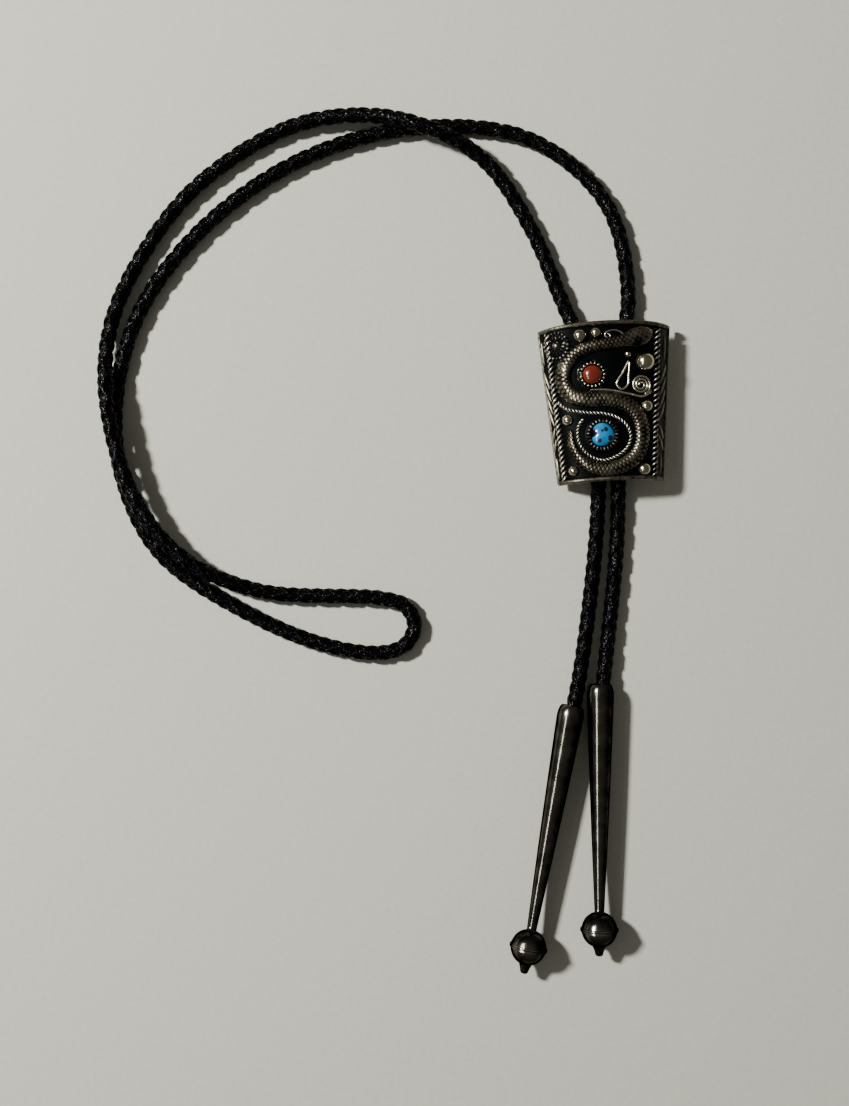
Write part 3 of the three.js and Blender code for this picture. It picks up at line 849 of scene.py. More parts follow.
def bead_ring_tree():
    """A ring of like beads or teeth, each turned to face outwards, on the points of a circle.
    Blank takes the empty mesh of the object that carries the ring, and is not used."""
    kinds = {
        "Blank": "Geometry",
        "Count": "Int",
        "Ring Radius": "Float",
        "Bead Size": "Vector",
        "Middle": "Vector",
        "Lean": "Float",
        "Rubbed": "Float",
        "Finish": "Material",
    }
    tree, ids = piece_tree("Ring of beads", kinds)
    given = add_node(tree, "NodeGroupInput").outputs
    fields = {"Vertices": given["Count"], "Radius": given["Ring Radius"]}
    ring = add_node(tree, "GeometryNodeMeshCircle", "Mesh", fields)
    spot = {"Vector": add_node(tree, "GeometryNodeInputPosition", "Position")}
    outwards = add_node(tree, "FunctionNodeAlignRotationToVector", "Rotation", spot, axis="X")
    lean = add_node(tree, "ShaderNodeCombineXYZ", "Vector", {"Y": given["Lean"]})
    fields = {"Rotation": outwards, "Rotate By": lean}
    tilt = add_node(tree, "FunctionNodeRotateRotation", "Rotation", fields, rotation_space="LOCAL")
    bead = add_node(tree, "GeometryNodeMeshUVSphere", "Mesh", {"Segments": 10, "Rings": 6, "Radius": 0.5})
    fields = {"Points": ring, "Instance": bead, "Rotation": tilt, "Scale": given["Bead Size"]}
    beads = add_node(tree, "GeometryNodeInstanceOnPoints", "Instances", fields)
    real = add_node(tree, "GeometryNodeRealizeInstances", "Geometry", {"Geometry": beads})
    moved = add_node(
        tree, "GeometryNodeTransform", "Geometry", {"Geometry": real, "Translation": given["Middle"]}
    )
    smooth = add_node(tree, "GeometryNodeSetShadeSmooth", "Geometry", {"Geometry": moved})
    fields = {"Geometry": smooth, "Name": "wear_and_sheen", "Value": given["Rubbed"]}
    worn = add_node(tree, "GeometryNodeStoreNamedAttribute", "Geometry", fields)
    hand_out(tree, worn, given["Finish"])
    return tree, ids


def made_by_tree(name, source, tree, ids, settings):
    """The plain mesh that a node tree makes of a source object, which is then removed."""
    modifier = source.modifiers.new(name, "NODES")
    modifier.node_group = tree
    for key, value in settings.items():
        modifier[ids[key]] = value
    bpy.context.view_layer.update()
    depsgraph = bpy.context.evaluated_depsgraph_get()
    mesh = bpy.data.meshes.new_from_object(source.evaluated_get(depsgraph), depsgraph=depsgraph)
    mesh.name = name
    bpy.data.objects.remove(source, do_unlink=True)
    return finish_piece(placed(name, mesh))


# Settings


def length(name, description, default):
    return bpy.props.FloatProperty(name=name, description=description, default=default, unit="LENGTH")


def count(name, description, default):
    return bpy.props.IntProperty(name=name, description=description, default=default, min=6)


def hex_colour(name, thing, default):
    return bpy.props.StringProperty(name=name, description="Hex colour of the " + thing, default=default)


class BoloTieSizes(bpy.types.PropertyGroup):
    cord_diameter: length("Cord diameter", "Thickness of the braided cord over its strands", 0.0048)
    braid_length: length("Braid length", "Length of cord in which one strand goes once round", 0.0144)
    rope_twist: length("Rope twist", "Length of one full turn of the twisted side wires", 0.0031)
    coil_twist: length("Coil twist", "Length of one full turn of the wire round the blue stone", 0.0021)
    red_teeth: count("Teeth round the red stone", "Number of bezel teeth", 19)
    blue_teeth: count("Teeth round the blue stone", "Number of bezel teeth", 25)


class BoloTieColours(bpy.types.PropertyGroup):
    silver: hex_colour("Silver", "rubbed silver", "cdc5b0")
    scales: hex_colour("Scales", "rubbed snake", "8d8471")
    balls: hex_colour("Balls", "balls", "a6a28c")
    ropes: hex_colour("Ropes", "twisted wires", "dad6c8")
    oxide: hex_colour("Oxide", "blackened silver", "0a0c0c")
    coral: hex_colour("Coral", "red stone", "681e0d")
    turquoise: hex_colour("Turquoise", "blue stone", "0b7db6")
    leather: hex_colour("Leather", "cord", "020202")
    tip: hex_colour("Tip", "tips", "8d887e")
    table: hex_colour("Table", "floor", "bdbdb1")


def sizes():
    return bpy.context.scene.bolo_tie_sizes


def colours():
    return bpy.context.scene.bolo_tie_colours


# Operators, one for each piece or group of like pieces


class BOLO_OT_camera(bpy.types.Operator):
    """Sets the camera straight over the table, as in the photograph"""

    bl_idname = "bolo.camera"
    bl_label = "Camera"

    def execute(self, context):
        data = bpy.data.cameras.new("camera")
        data.sensor_fit = "HORIZONTAL"
        data.sensor_width = SENSOR_WIDTH
        data.lens = SENSOR_WIDTH * CAMERA_HEIGHT / VIEW_WIDTH
        data.clip_start = NEAREST_SEEN * MM
        camera = placed("camera", data)
        camera.location = Vector((CAMERA_X, CAMERA_Y, CAMERA_HEIGHT)) * MM
        camera.rotation_euler = (0.0, 0.0, math.radians(CAMERA_TURN))
        context.scene.camera = camera
        return {"FINISHED"}


class BOLO_OT_cord(bpy.types.Operator):
    """Braids the cord along its route"""

    bl_idname = "bolo.cord"
    bl_label = "Braided cord"

    def execute(self, context):
        radius = sizes().cord_diameter / MM / 2
        line, along = even_steps(smooth_route(CORD_ROUTE, ROUTE_FINENESS), BRAID_STEP)
        side, up = steady_frames(line)
        lace_half = radius * LACE_HALF_WIDTH
        lace_thick = radius * LACE_THICKNESS
        wave = radius * LACE_WAVE
        middle = radius - lace_thick - wave
        rounds = 2 * math.pi * along / (sizes().braid_length / MM)
        over = np.cos(2 * rounds)
        parts = [tube(even_steps(line, CORE_STEP)[0], middle, CORE_SIDES)]
        for way in (1, -1):
            reach = middle + way * wave * over
            for k in range(STRANDS_EACH_WAY):
                angle = way * rounds + math.pi * k + (0 if way > 0 else math.pi / 2)
                spots = []
                for turn in even_turns(LACE_SIDES):
                    squared = abs(math.cos(turn)) ** LACE_SQUARENESS
                    across = lace_half * math.copysign(squared, math.cos(turn))
                    bend = (angle + across / radius)[:, None]
                    out = (reach + lace_thick * math.sin(turn))[:, None]
                    spots.append(line + out * np.cos(bend) * side + out * np.sin(bend) * up)
                parts.append((np.stack(spots, axis=1).reshape(-1, 3), ring_faces(len(line), LACE_SIDES)))
        leather = black_leather(colours().leather)
        cord = mesh_piece("braided_cord", joined(parts), leather, replaced=("cord",))
        return {"FINISHED"}


def end_edge(share, end):
    """Y of the plate's top (1) or bottom (-1) end at a share of its half width."""
    bulge = 1 - share * share
    return end * PLATE_HEIGHT / 2 + (TOP_ARCH if end > 0 else BOTTOM_ARCH) * bulge


class BOLO_OT_plate(bpy.types.Operator):
    """Makes the slide's arched plate"""

    bl_idname = "bolo.plate"
    bl_label = "Slide plate"

    def execute(self, context):
        spread = np.linspace(-1, 1, PLATE_COLUMNS)
        shares = np.sign(spread) * (1 - (1 - np.abs(spread)) ** EDGE_CROWDING)
        inset = 1 - 2 * PLATE_WALL / PLATE_TOP_WIDTH
        rise = PLATE_CROWN_Z - PLATE_EDGE_Z
        edge = np.clip((np.abs(shares) - EDGE_RUB_START) / EDGE_RUB_WIDTH, 0, 1)
        points = []
        for along in np.linspace(0, 1, PLATE_ROWS):
            outer = []
            inner = []
            for s in shares:
                low = end_edge(s, -1)
                y = low + (end_edge(s, 1) - low) * along
                outer.append((s * half_width_at(y), y, PLATE_CROWN_Z - rise * arch_drop(s)))
                z = PLATE_CROWN_Z - PLATE_WALL - (rise - PLATE_WALL) * arch_drop(s)
                inner.append((s * inset * half_width_at(y), y, z))
            points += outer + inner[::-1]
        wear_and_sheen = (list(FACE_WEAR + EDGE_WEAR * edge) + [BACK_WEAR] * PLATE_COLUMNS) * PLATE_ROWS
        sides = 2 * PLATE_COLUMNS
        faces = ring_faces(PLATE_ROWS, sides)[:-2]
        last = (PLATE_ROWS - 1) * sides
        for k in range(PLATE_COLUMNS - 1):
            far = sides - 1 - k
            faces.append((k + 1, k, far, far - 1))
            faces.append((last + k, last + k + 1, last + far - 1, last + far))
        shape = (np.array(points), faces)
        silver = silver_finish()
        mesh_piece("slide_plate", shape, silver, wear_and_sheen=wear_and_sheen, replaced=("slide",))
        return {"FINISHED"}


def end_line(end):
    """The middle of an end rim wire."""
    points = []
    for across in np.linspace(-RIM_REACH, RIM_REACH, RIM_POINTS):
        y = end_edge(across, end) - end * RIM_WIRE / 2
        points.append((across * half_width_at(y), y))
    return points


def side_line(share, inset):
    """A line down the slide at a share of its half width."""
    ys = np.linspace(-PLATE_HEIGHT / 2 + inset, PLATE_HEIGHT / 2 - inset, SIDE_POINTS)
    return [(share * half_width_at(y), y) for y in ys]


class BOLO_OT_rims(bpy.types.Operator):
    """Lays the plain rim wires and the stamped strokes of the side bands"""

    bl_idname = "bolo.rims"
    bl_label = "Rims and stamped bands"

    def execute(self, context):
        smooth = silver_finish("smooth_rim_silver", roughness=0.2, patchy=0.25)
        rims = [face_wire(end_line(end), RIM_WIRE) for end in (1, -1)]
        for share in (-EDGE_LINE, EDGE_LINE):
            rims.append(face_wire(side_line(share, RIM_WIRE / 2), EDGE_WIRE, sides=10))
        mesh_piece("rim_wires", joined(rims), smooth, wear_and_sheen=RIM_WEAR)
        parts = np.linspace(0, 1, STROKE_POINTS)
        swell = STROKE_TIP + STROKE_SWELL * np.sin(math.pi * parts)
        strokes = []
        for hand, rope in ((-1, LEFT_ROPE_LINE), (1, RIGHT_ROPE_LINE)):
            inner = rope + BAND_MARGIN
            for out0, y0, out1, y1 in STAMPED_STROKES:
                start, end = (inner + (1 - inner) * out for out in (out0, out1))
                line = []
                for part in parts:
                    y = (y0 + (y1 - y0) * part) * PLATE_HEIGHT / 2
                    x = hand * (start + (end - start) * part) * half_width_at(y)
                    line.append((x, y, face_z(x, y) + STROKE_LIFT))
                strokes.append(tube(np.array(line), swell, STROKE_SIDES))
        mesh_piece("stamped_strokes", joined(strokes), smooth, wear_and_sheen=STROKE_WEAR)
        return {"FINISHED"}


class BOLO_OT_ropes(bpy.types.Operator):
    """Twists the rope wires at the sides and round the blue stone"""

    bl_idname = "bolo.ropes"
    bl_label = "Twisted wires"

    def execute(self, context):
        tree, ids = twisted_wire_tree()
        silver = silver_finish("rubbed_rope_silver", roughness=0.28, bright=colours().ropes)
        wires = [
            ("left_rope", side_line(-LEFT_ROPE_LINE, RIM_WIRE), ROPE_WIRE, sizes().rope_twist, 1.0),
            ("right_rope", side_line(RIGHT_ROPE_LINE, RIM_WIRE), ROPE_WIRE, sizes().rope_twist, 0.5),
            ("stone_rope", COIL_ROUTE, COIL_WIRE, sizes().coil_twist, 1.3),
        ]
        for name, route, thickness, twist, rubbed in wires:
            source = wire_curve(name + "_route", face_line(route, thickness))
            settings = {
                "Rope Diameter": thickness * MM * ROPE_SWELL,
                "Twist Length": twist,
                "Rubbed": rubbed,
                "Finish": silver,
            }
            made_by_tree(name, source, tree, ids, settings)
        return {"FINISHED"}


def body_scale(u, v):
    """Height of the diamond scales at a place along and across the snake, from 0 to 1."""
    p = abs(((u + v) % 1) - 0.5) * 2
    q = abs(((u - v) % 1) - 0.5) * 2
    return min(1.0, SCALE_STEEPNESS * (1 - max(p, q)))


def head_plate(u, v):
    """Height of the head's faint plates and of the ridge round its edge, from 0 to 1."""
    plates = 0.5 + 0.5 * math.cos(1.6 * math.pi * u) * math.cos(3 * math.pi * v)
    ridge = max(0.0, 1 - abs(abs(v) - HEAD_RIDGE) / HEAD_RIDGE_WIDTH)
    return max(HEAD_PLATE_HEIGHT * plates, ridge)


class BOLO_OT_snake(bpy.types.Operator):
    """Shapes the scaled snake"""

    bl_idname = "bolo.snake"
    bl_label = "Snake"

    def execute(self, context):
        route = smooth_route(SNAKE_ROUTE, SNAKE_FINENESS)
        place = np.linspace(0, 1, len(route))
        line, along = even_steps(np.column_stack([route, place]), SNAKE_STEP)
        flat = line[:, :2]
        direction = np.gradient(flat, axis=0)
        direction /= np.linalg.norm(direction, axis=1)[:, None]
        across = np.column_stack([-direction[:, 1], direction[:, 0]])
        turns = np.linspace(0, math.pi, SNAKE_ARC + 1)
        points = []
        wear_and_sheen = []

        def add_point(spot, side, out, up, rubbed):
            x, y = spot + side * out
            points.append((x, y, face_z(x, y) + up))
            wear_and_sheen.append(rubbed)

        for i, (spot, side, share, part) in enumerate(zip(flat, across, line[:, 2], line[:, 3])):
            closing = min(1.0, i / SNAKE_END_STEPS, (len(flat) - 1 - i) / SNAKE_END_STEPS)
            reach = max(share * SNAKE_WIDTH / 2 * math.sqrt(max(closing, 0.02)), 0.05)
            rise = min(SNAKE_RISE, reach * SNAKE_ROUNDNESS)
            head = part > HEAD_START
            height, (hollow, crest) = (head_plate, HEAD_WEAR) if head else (body_scale, BODY_WEAR)
            for turn in turns:
                level = height(along[i] / SCALE_LENGTH, (turn / math.pi - 0.5) * SCALE_ROWS / 2)
                lift = SCALE_RELIEF * (level - SCALE_GROUND) * min(1.0, reach)
                rubbed = SNAKE_LEAST_WEAR + (hollow + crest * level) * math.sin(turn) ** 0.5
                out = (reach + lift) * -math.cos(turn)
                add_point(spot, side, out, (rise + lift) * math.sin(turn), rubbed)
            for foot in (SNAKE_FOOT, -SNAKE_FOOT):
                add_point(spot, side, reach * foot, -SINK, 0.0)
        faces = [f[::-1] for f in ring_faces(len(flat), len(turns) + 2)]
        bright = colours().scales
        satin = silver_finish("satin_scale_silver", roughness=0.2, bright=bright, patches=0.3, patchy=0.95)
        mesh_piece("snake", (np.array(points), faces), satin, wear_and_sheen=wear_and_sheen)
        return {"FINISHED"}


class BOLO_OT_balls(bpy.types.Operator):
    """Solders the polished balls on the face"""

    bl_idname = "bolo.balls"
    bl_label = "Balls"

    def execute(self, context):
        parts = []
        wear_and_sheen = []
        for x, y, diameter in BALLS:
            radius = diameter / 2
            low = math.asin(min(SINK / radius, 0.7))
            angles = np.linspace(-low, math.pi / 2, BALL_BANDS)
            profile = [(max(radius * math.cos(a), 0.001), radius * math.sin(a)) for a in angles]
            spots, faces = lathe(profile, BALL_SIDES)
            parts.append((spots + np.array([x, y, face_z(x, y)]), faces))
            for angle in angles:
                level = BALL_FOOT_WEAR + BALL_WEAR_RISE * max(0.0, math.sin(angle))
                wear_and_sheen += [min(1.0, level)] * BALL_SIDES
        polished = silver_finish("polished_ball_silver", roughness=0.19, bright=colours().balls)
        mesh_piece("polished_balls", joined(parts), polished, wear_and_sheen=wear_and_sheen)
        return {"FINISHED"}


def on_face(spots, x, y):
    """Turns a shape made about the origin to lie on the slide's face at a place."""
    normal = face_normal(x, y)
    right = np.cross([0.0, 1.0, 0.0], normal)
    right /= np.linalg.norm(right)
    up = np.cross(normal, right)
    spots = np.asarray(spots)
    laid = spots[:, :1] * right + spots[:, 1:2] * up + spots[:, 2:3] * normal
    return laid + np.array([x, y, face_z(x, y)])


def layered(levels, parts):
    """The levels added up, each as far as its part of the rosette is there."""
    return sum(level * part for level, part in zip(levels, parts))


class BOLO_OT_rosette(bpy.types.Operator):
    """Makes the petalled rosette with its ring of beads"""

    bl_idname = "bolo.rosette"
    bl_label = "Rosette"

    def execute(self, context):
        radius = ROSETTE_DIAMETER / 2
        silver = silver_finish()
        sides = ROSETTE_PETALS * PETAL_SIDES
        points = []
        wear_and_sheen = []
        for share in np.linspace(1.0, 0.0, ROSETTE_BANDS):
            for turn in even_turns(sides):
                ridge = abs(math.sin(turn * ROSETTE_PETALS / 2)) ** 0.6
                outwards = min(max((share - PETAL_START) / PETAL_LENGTH, 0), 1)
                petal = ridge * math.sin(math.pi * outwards) ** 0.5
                boss = max(0.0, 1 - (share / BOSS_REACH) ** 2) ** 0.5
                ring = max(0.0, 1 - abs(share - ROSETTE_RING) / ROSETTE_RING_WIDTH)
                there = (1.0, petal, boss, ring)
                reach = max(share, 0.002) * radius * ROSETTE_REACH
                height = ROSETTE_RISE * layered(ROSETTE_HEIGHTS, there)
                points.append((reach * math.cos(turn), reach * math.sin(turn), height))
                wear_and_sheen.append(min(1.0, layered(ROSETTE_WEAR, there)))
        base = [(x, y, -SINK) for x, y, _ in points[:sides]]
        shape = (on_face(base + points, *ROSETTE), ring_faces(ROSETTE_BANDS + 1, sides))
        mesh_piece("rosette", shape, silver, wear_and_sheen=[0.0] * sides + wear_and_sheen)
        angles = np.linspace(-1.5, 1.57, BEAD_BANDS)
        profile = [(BEAD_RADIUS * max(math.cos(a), 0.002), BEAD_RADIUS * math.sin(a)) for a in angles]
        parts = []
        for turn in even_turns(ROSETTE_BEADS):
            spots, faces = lathe(profile, BEAD_SIDES)
            centre = np.array([radius * math.cos(turn), radius * math.sin(turn), BEAD_LIFT])
            parts.append((on_face(spots + centre, *ROSETTE), faces))
        mesh_piece("rosette_beads", joined(parts), silver, wear_and_sheen=BEAD_WEAR)
        return {"FINISHED"}


class BOLO_OT_wires(bpy.types.Operator):
    """Bends the thin spiral, teardrop, scroll and tail wires"""

    bl_idname = "bolo.wires"
    bl_label = "Thin wires"

    def execute(self, context):
        spiral = []
        for part in np.linspace(0, 1, SPIRAL_POINTS):
            turn = 2 * math.pi * SPIRAL_TURNS * part + SPIRAL_START
            reach = SPIRAL_RADIUS * (1 - (1 - SPIRAL_EYE) * part)
            spiral.append((SPIRAL[0] + reach * math.cos(turn), SPIRAL[1] + reach * math.sin(turn)))
        wires = [face_wire(TAIL_WIRE_ROUTE, THIN_WIRE)]
        wires += [face_wire(route, FINE_WIRE) for route in (DROP_ROUTE, spiral)]
        wires.append(face_wire(SCROLL_ROUTE, SCROLL_WIRE))
        mesh_piece("thin_wires", joined(wires), silver_finish(), wear_and_sheen=THIN_WIRE_WEAR)
        return {"FINISHED"}


class BOLO_OT_bezels(bpy.types.Operator):
    """Makes the serrated bezel cups"""

    bl_idname = "bolo.bezels"
    bl_label = "Bezel cups"

    def execute(self, context):
        tree, ids = bead_ring_tree()
        silver = silver_finish()
        cups = [
            ("red_bezel", RED_STONE, RED_DIAMETER, sizes().red_teeth, 0.95, 1.0),
            ("blue_bezel", BLUE_STONE, BLUE_DIAMETER, sizes().blue_teeth, 1.35, 0.1),
        ]
        for name, (x, y), diameter, teeth, tooth_depth, worn in cups:
            inside = diameter / 2 + STONE_FIT
            outside = diameter / 2 + GAP + BEZEL_WALL
            seat = outside + SEAT_WIDTH
            base = face_z(x, y)
            top = base + BEZEL_HEIGHT
            # Radius, height and wear from the seat's foot over the rim to the cup's floor
            rows = [
                (seat, base - SINK, 0.0),
                (seat, base + 0.25, 0.25),
                (seat - 0.2, base + 0.4, 0.3),
                (outside + 0.1, base + 0.4, 0.0),
                (outside, base + 0.5, 0.0),
                (outside - 0.12, top - 0.2, 0.1),
                (outside - 0.3, top, 0.35),
                (inside + 0.12, top - 0.05, 0.2),
                (inside, top - 0.3, 0.0),
                (inside, base - 0.2, 0.0),
                (0.01, base - 0.2, 0.0),
            ]
            spots, faces = lathe([row[:2] for row in rows], BEZEL_SIDES)
            wear_and_sheen = [level * worn for _, _, level in rows for _ in range(BEZEL_SIDES)]
            mesh_piece(name, (spots + np.array([x, y, 0.0]), faces), silver, wear_and_sheen=wear_and_sheen)
            blank = placed(name + "_blank", bpy.data.meshes.new(name + "_blank"))
            settings = {
                "Count": teeth,
                "Ring Radius": (inside + TOOTH_WIDTH) * MM,
                "Bead Size": (tooth_depth * MM, TOOTH_WIDTH * MM, TOOTH_HEIGHT * MM),
                "Middle": (x * MM, y * MM, (top + 0.05) * MM),
                "Lean": TOOTH_LEAN,
                "Rubbed": 0.3 + 0.7 * worn,
                "Finish": silver,
            }
            made_by_tree(name + "_teeth", blank, tree, ids, settings)
        return {"FINISHED"}


def cabochon(x, y, diameter, outline):
    """A low domed stone on its seat; outline gives the radius at a turn as a share."""
    base = face_z(x, y) + BEZEL_HEIGHT - STONE_GIRDLE
    radius = diameter / 2
    turns = even_turns(STONE_SIDES)
    edges = [outline(turn) for turn in turns]
    rings = [(1.0, 0.0)]
    for angle in np.linspace(0, math.pi / 2, STONE_BANDS):
        height = STONE_GIRDLE - 0.25 + STONE_DOME * math.sin(angle) ** 0.9
        rings.append((max(math.cos(angle), 0.003), height))
    points = []
    for share, height in rings:
        for turn, edge in zip(turns, edges):
            reach = radius * share * (edge * share + 1 - share if share < 1 else edge)
            points.append((x + reach * math.cos(turn), y + reach * math.sin(turn), base + height))
    return np.array(points), ring_faces(len(rings), STONE_SIDES)


def oval(turn):
    """Outline of the red stone, a little longer than wide."""
    return 1.0 + 0.012 * math.cos(2 * turn)


def nugget(turn):
    """Outline of the blue stone, a rounded triangle with a notch at its left."""
    notch = math.exp(-(((turn - NOTCH_TURN) / NOTCH_WIDTH) ** 2))
    return 1.0 - NOTCH_DEPTH * notch + 0.03 * math.cos(3 * turn + 0.8)


class BOLO_OT_stones(bpy.types.Operator):
    """Cuts and sets the two stones"""

    bl_idname = "bolo.stones"
    bl_label = "Stones"

    def execute(self, context):
        red = cabochon(*RED_STONE, RED_DIAMETER + 0.2, oval)
        mesh_piece("coral_stone", red, coral_finish(colours().coral), replaced=("red_stone",))
        blue = cabochon(*BLUE_STONE, BLUE_DIAMETER, nugget)
        flat = (blue[0][:, :2] - np.array(BLUE_STONE)) / (BLUE_DIAMETER / 2)
        rock = np.zeros(len(flat))
        for across, lit_side, reach in ROCK_SPECKS:
            away = np.linalg.norm(flat - np.array([across, lit_side]), axis=1) / reach
            rock = np.maximum(rock, np.clip(1.0 - 0.5 * away, 0.0, 1.0))
        finish = turquoise_finish(colours().turquoise)
        mesh_piece("turquoise_stone", blue, finish, wear_and_sheen=rock, replaced=("blue_stone",))
        return {"FINISHED"}


def tip_wear_and_sheen(radius, along, centre):
    """How far the tip's outside is rubbed, with a painted highlight laid on it: the cone, the crests of
    the ring, and the ball's waist.
    """
    if along < centre - BALL_DIAMETER / 2:
        return CONE_WEAR_AND_SHEEN
    if radius > BALL_DIAMETER / 2 + 0.02 and abs(along - centre) < BALL_RING_WIDTH / 2:
        return 1.0
    return TIP_BALL_WEAR_AND_SHEEN + WAIST_WEAR_AND_SHEEN * math.exp(-(((along - centre) / WAIST_SHEEN_WIDTH) ** 2))


def tip_profile():
    """Radius and distance from the mouth, from the cord's seat over the outside to the nub's end."""
    mouth = TIP_MOUTH_DIAMETER / 2
    neck = TIP_NECK_DIAMETER / 2
    ball = BALL_DIAMETER / 2
    seat = sizes().cord_diameter / MM / 2 + TIP_SEAT_CLEARANCE
    depth = CORD_IN_TIP + GAP
    neck_angle = math.asin(neck / ball)
    centre = TIP_CONE_LENGTH + ball * math.cos(neck_angle)

    def cone(along):
        part = along / TIP_CONE_LENGTH
        return neck + (mouth - neck) * (1 - part + TIP_BOW * math.sin(math.pi * part))

    def flared(angle):
        near = max(0.0, 1 - ball * abs(math.cos(angle)) / RING_FLARE_WIDTH)
        return ball * math.sin(angle) + RING_FLARE * near**2, centre - ball * math.cos(angle)

    lip = seat + 0.15
    rows = [(0.01, depth), (seat, depth), (seat, 0.25)]
    for turn in np.linspace(0.0, math.pi / 2, 10):
        swell = math.sin(turn) ** 1.15
        rows.append((lip + (cone(TIP_SHOULDER) - lip) * swell, TIP_SHOULDER * (1 - math.cos(turn))))
    bands = np.linspace(TIP_SHOULDER, TIP_CONE_LENGTH, CONE_BANDS)[1:]
    rows += [(cone(along), along) for along in bands]
    edge = math.asin(BALL_RING_WIDTH / 2 / ball)
    bands = np.linspace(neck_angle + 0.05, math.pi / 2 - edge, HALF_BALL_BANDS)
    rows += [flared(angle) for angle in bands]
    bulge = (BALL_RING_DIAMETER - BALL_DIAMETER) / 2 + RING_SINK
    for place in (-BALL_RING_WIDTH / 4, BALL_RING_WIDTH / 4):
        for turn in np.linspace(-math.pi / 2, math.pi / 2, 9):
            out = place + BALL_RING_WIDTH * 0.245 * math.sin(turn)
            rows.append((ball - RING_SINK + bulge * math.cos(turn), centre + out))
    nub_angle = math.asin(NUB_DIAMETER / BALL_DIAMETER)
    bands = np.linspace(math.pi / 2 + edge, math.pi - 1.6 * nub_angle, HALF_BALL_BANDS)
    rows += [flared(angle) for angle in bands]
    start = centre + ball * math.cos(nub_angle)
    nub = NUB_DIAMETER / 2
    rows += [(nub * wide, start + NUB_LENGTH * along) for wide, along in NUB_SHAPE]
    return rows, centre


class BOLO_OT_tips(bpy.types.Operator):
    """Turns the two cone and ball tips"""

    bl_idname = "bolo.tips"
    bl_label = "Tips"

    def execute(self, context):
        rows, centre = tip_profile()
        tilt = math.asin((BALL_RING_DIAMETER - TIP_MOUTH_DIAMETER) / 2 / centre)
        finish = tip_finish(colours().tip)
        turns = even_turns(TIP_SIDES)
        # Painted highlight: this mask peaks on the side that leans towards the lamp at the upper left, and
        # fades to painted shade down the sides.
        lit_side = np.clip((np.sin(turns - TIP_SHEEN_LEAN) - TIP_SHEEN_START) / TIP_SHEEN_SPREAD, 0.0, 1.0)
        wear_and_sheen = [tip_wear_and_sheen(r, d, centre) * up for r, d in rows for up in lit_side]
        faces = [f[::-1] for f in ring_faces(len(rows), TIP_SIDES)]
        spots = np.array([(r * math.cos(t), -d, r * math.sin(t)) for r, d in rows for t in turns])
        spots[:, 1], spots[:, 2] = turned(spots[:, 1], spots[:, 2], -tilt)
        spots[:, 2] += TIP_MOUTH_DIAMETER / 2 * math.cos(tilt)
        for name, node, (x, y, swing) in (
            ("left_cone_tip", "left_tip", LEFT_TIP),
            ("right_cone_tip", "right_tip", RIGHT_TIP),
        ):
            laid = spots.copy()
            laid[:, 0], laid[:, 1] = turned(spots[:, 0], spots[:, 1], math.radians(swing))
            laid += np.array([x, y, 0.0])
            mesh_piece(name, (laid, faces), finish, wear_and_sheen=wear_and_sheen, replaced=(node,))
        return {"FINISHED"}


class BOLO_OT_clip(bpy.types.Operator):
    """Gives the back clip its plated steel"""

    bl_idname = "bolo.clip"
    bl_label = "Back clip"

    def execute(self, context):
        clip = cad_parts["back_clip"]
        clip.data.materials.clear()
        clip.data.materials.append(clip_finish())
        return {"FINISHED"}


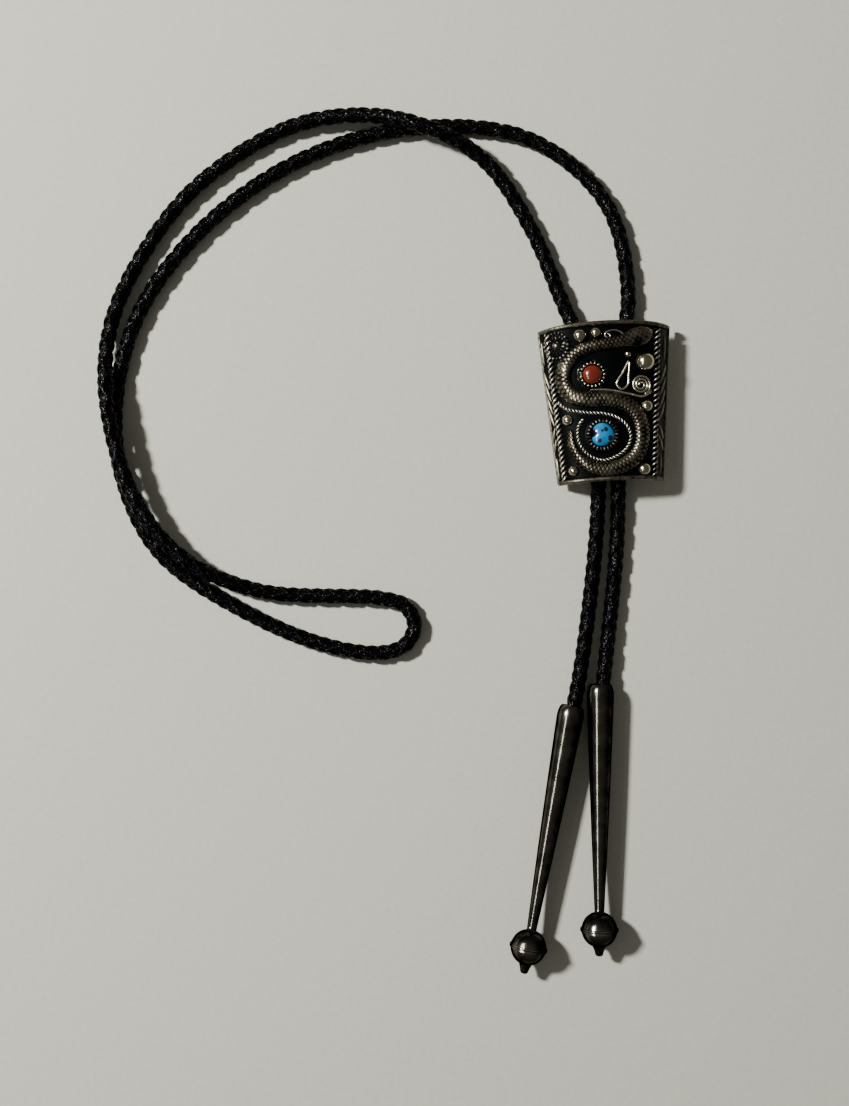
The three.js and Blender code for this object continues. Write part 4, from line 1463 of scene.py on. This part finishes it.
class BOLO_OT_stage(bpy.types.Operator):
    """Lays the pale table top and sets the lights"""

    bl_idname = "bolo.stage"
    bl_label = "Table and lights"

    def execute(self, context):
        mesh = bpy.data.meshes.new("table_top")
        corners = [(x * TABLE_REACH, y * TABLE_REACH, 0) for x, y in ((-1, -1), (1, -1), (1, 1), (-1, 1))]
        mesh.from_pydata(corners, [], [(0, 1, 2, 3)])
        mesh.materials.append(floor_finish(colours().table))
        placed("table_top", mesh)
        aim = Vector((CAMERA_X, CAMERA_Y, 0)) * MM
        for name, distance, width, height, power, direction in LIGHTS:
            data = bpy.data.lights.new(name, "AREA")
            data.shape = "RECTANGLE"
            data.size = width
            data.size_y = height
            data.energy = power
            data.color = LIGHT_COLOUR
            lamp = placed(name, data)
            way = Vector(direction).normalized()
            lamp.location = aim - way * distance
            lamp.rotation_euler = way.to_track_quat("-Z", "Y").to_euler()
            lamp.visible_diffuse = name == "window"
        world = bpy.data.worlds.new("room")
        world.use_nodes = True
        backdrop = world.node_tree.nodes["Background"]
        backdrop.inputs["Color"].default_value = linear(ROOM_COLOUR)
        backdrop.inputs["Strength"].default_value = ROOM_STRENGTH
        context.scene.world = world
        return {"FINISHED"}


class BOLO_PT_panel(bpy.types.Panel):
    """Lists the bolo tie's settings and pieces"""

    bl_idname = "BOLO_PT_panel"
    bl_label = "Bolo tie"
    bl_space_type = "VIEW_3D"
    bl_region_type = "UI"
    bl_category = "Bolo tie"

    def draw(self, context):
        for group in (sizes(), colours()):
            for key in group.__annotations__:
                self.layout.prop(group, key)
        for operator in OPERATORS:
            self.layout.operator(operator.bl_idname)


OPERATORS = (
    BOLO_OT_camera,
    BOLO_OT_cord,
    BOLO_OT_plate,
    BOLO_OT_rims,
    BOLO_OT_ropes,
    BOLO_OT_snake,
    BOLO_OT_balls,
    BOLO_OT_rosette,
    BOLO_OT_wires,
    BOLO_OT_bezels,
    BOLO_OT_stones,
    BOLO_OT_tips,
    BOLO_OT_clip,
    BOLO_OT_stage,
)
CLASSES = (BoloTieSizes, BoloTieColours, *OPERATORS, BOLO_PT_panel)


def register():
    for made in CLASSES:
        bpy.utils.register_class(made)
    bpy.types.Scene.bolo_tie_sizes = bpy.props.PointerProperty(type=BoloTieSizes)
    bpy.types.Scene.bolo_tie_colours = bpy.props.PointerProperty(type=BoloTieColours)


def unregister():
    del bpy.types.Scene.bolo_tie_colours
    del bpy.types.Scene.bolo_tie_sizes
    for made in reversed(CLASSES):
        bpy.utils.unregister_class(made)


def main():
    register()
    bpy.ops.bolo.camera()
    bpy.ops.bolo.cord()
    bpy.ops.bolo.plate()
    bpy.ops.bolo.rims()
    bpy.ops.bolo.ropes()
    bpy.ops.bolo.snake()
    bpy.ops.bolo.balls()
    bpy.ops.bolo.rosette()
    bpy.ops.bolo.wires()
    bpy.ops.bolo.bezels()
    bpy.ops.bolo.stones()
    bpy.ops.bolo.tips()
    bpy.ops.bolo.clip()
    bpy.ops.bolo.stage()


if __name__ == "__main__":
    main()
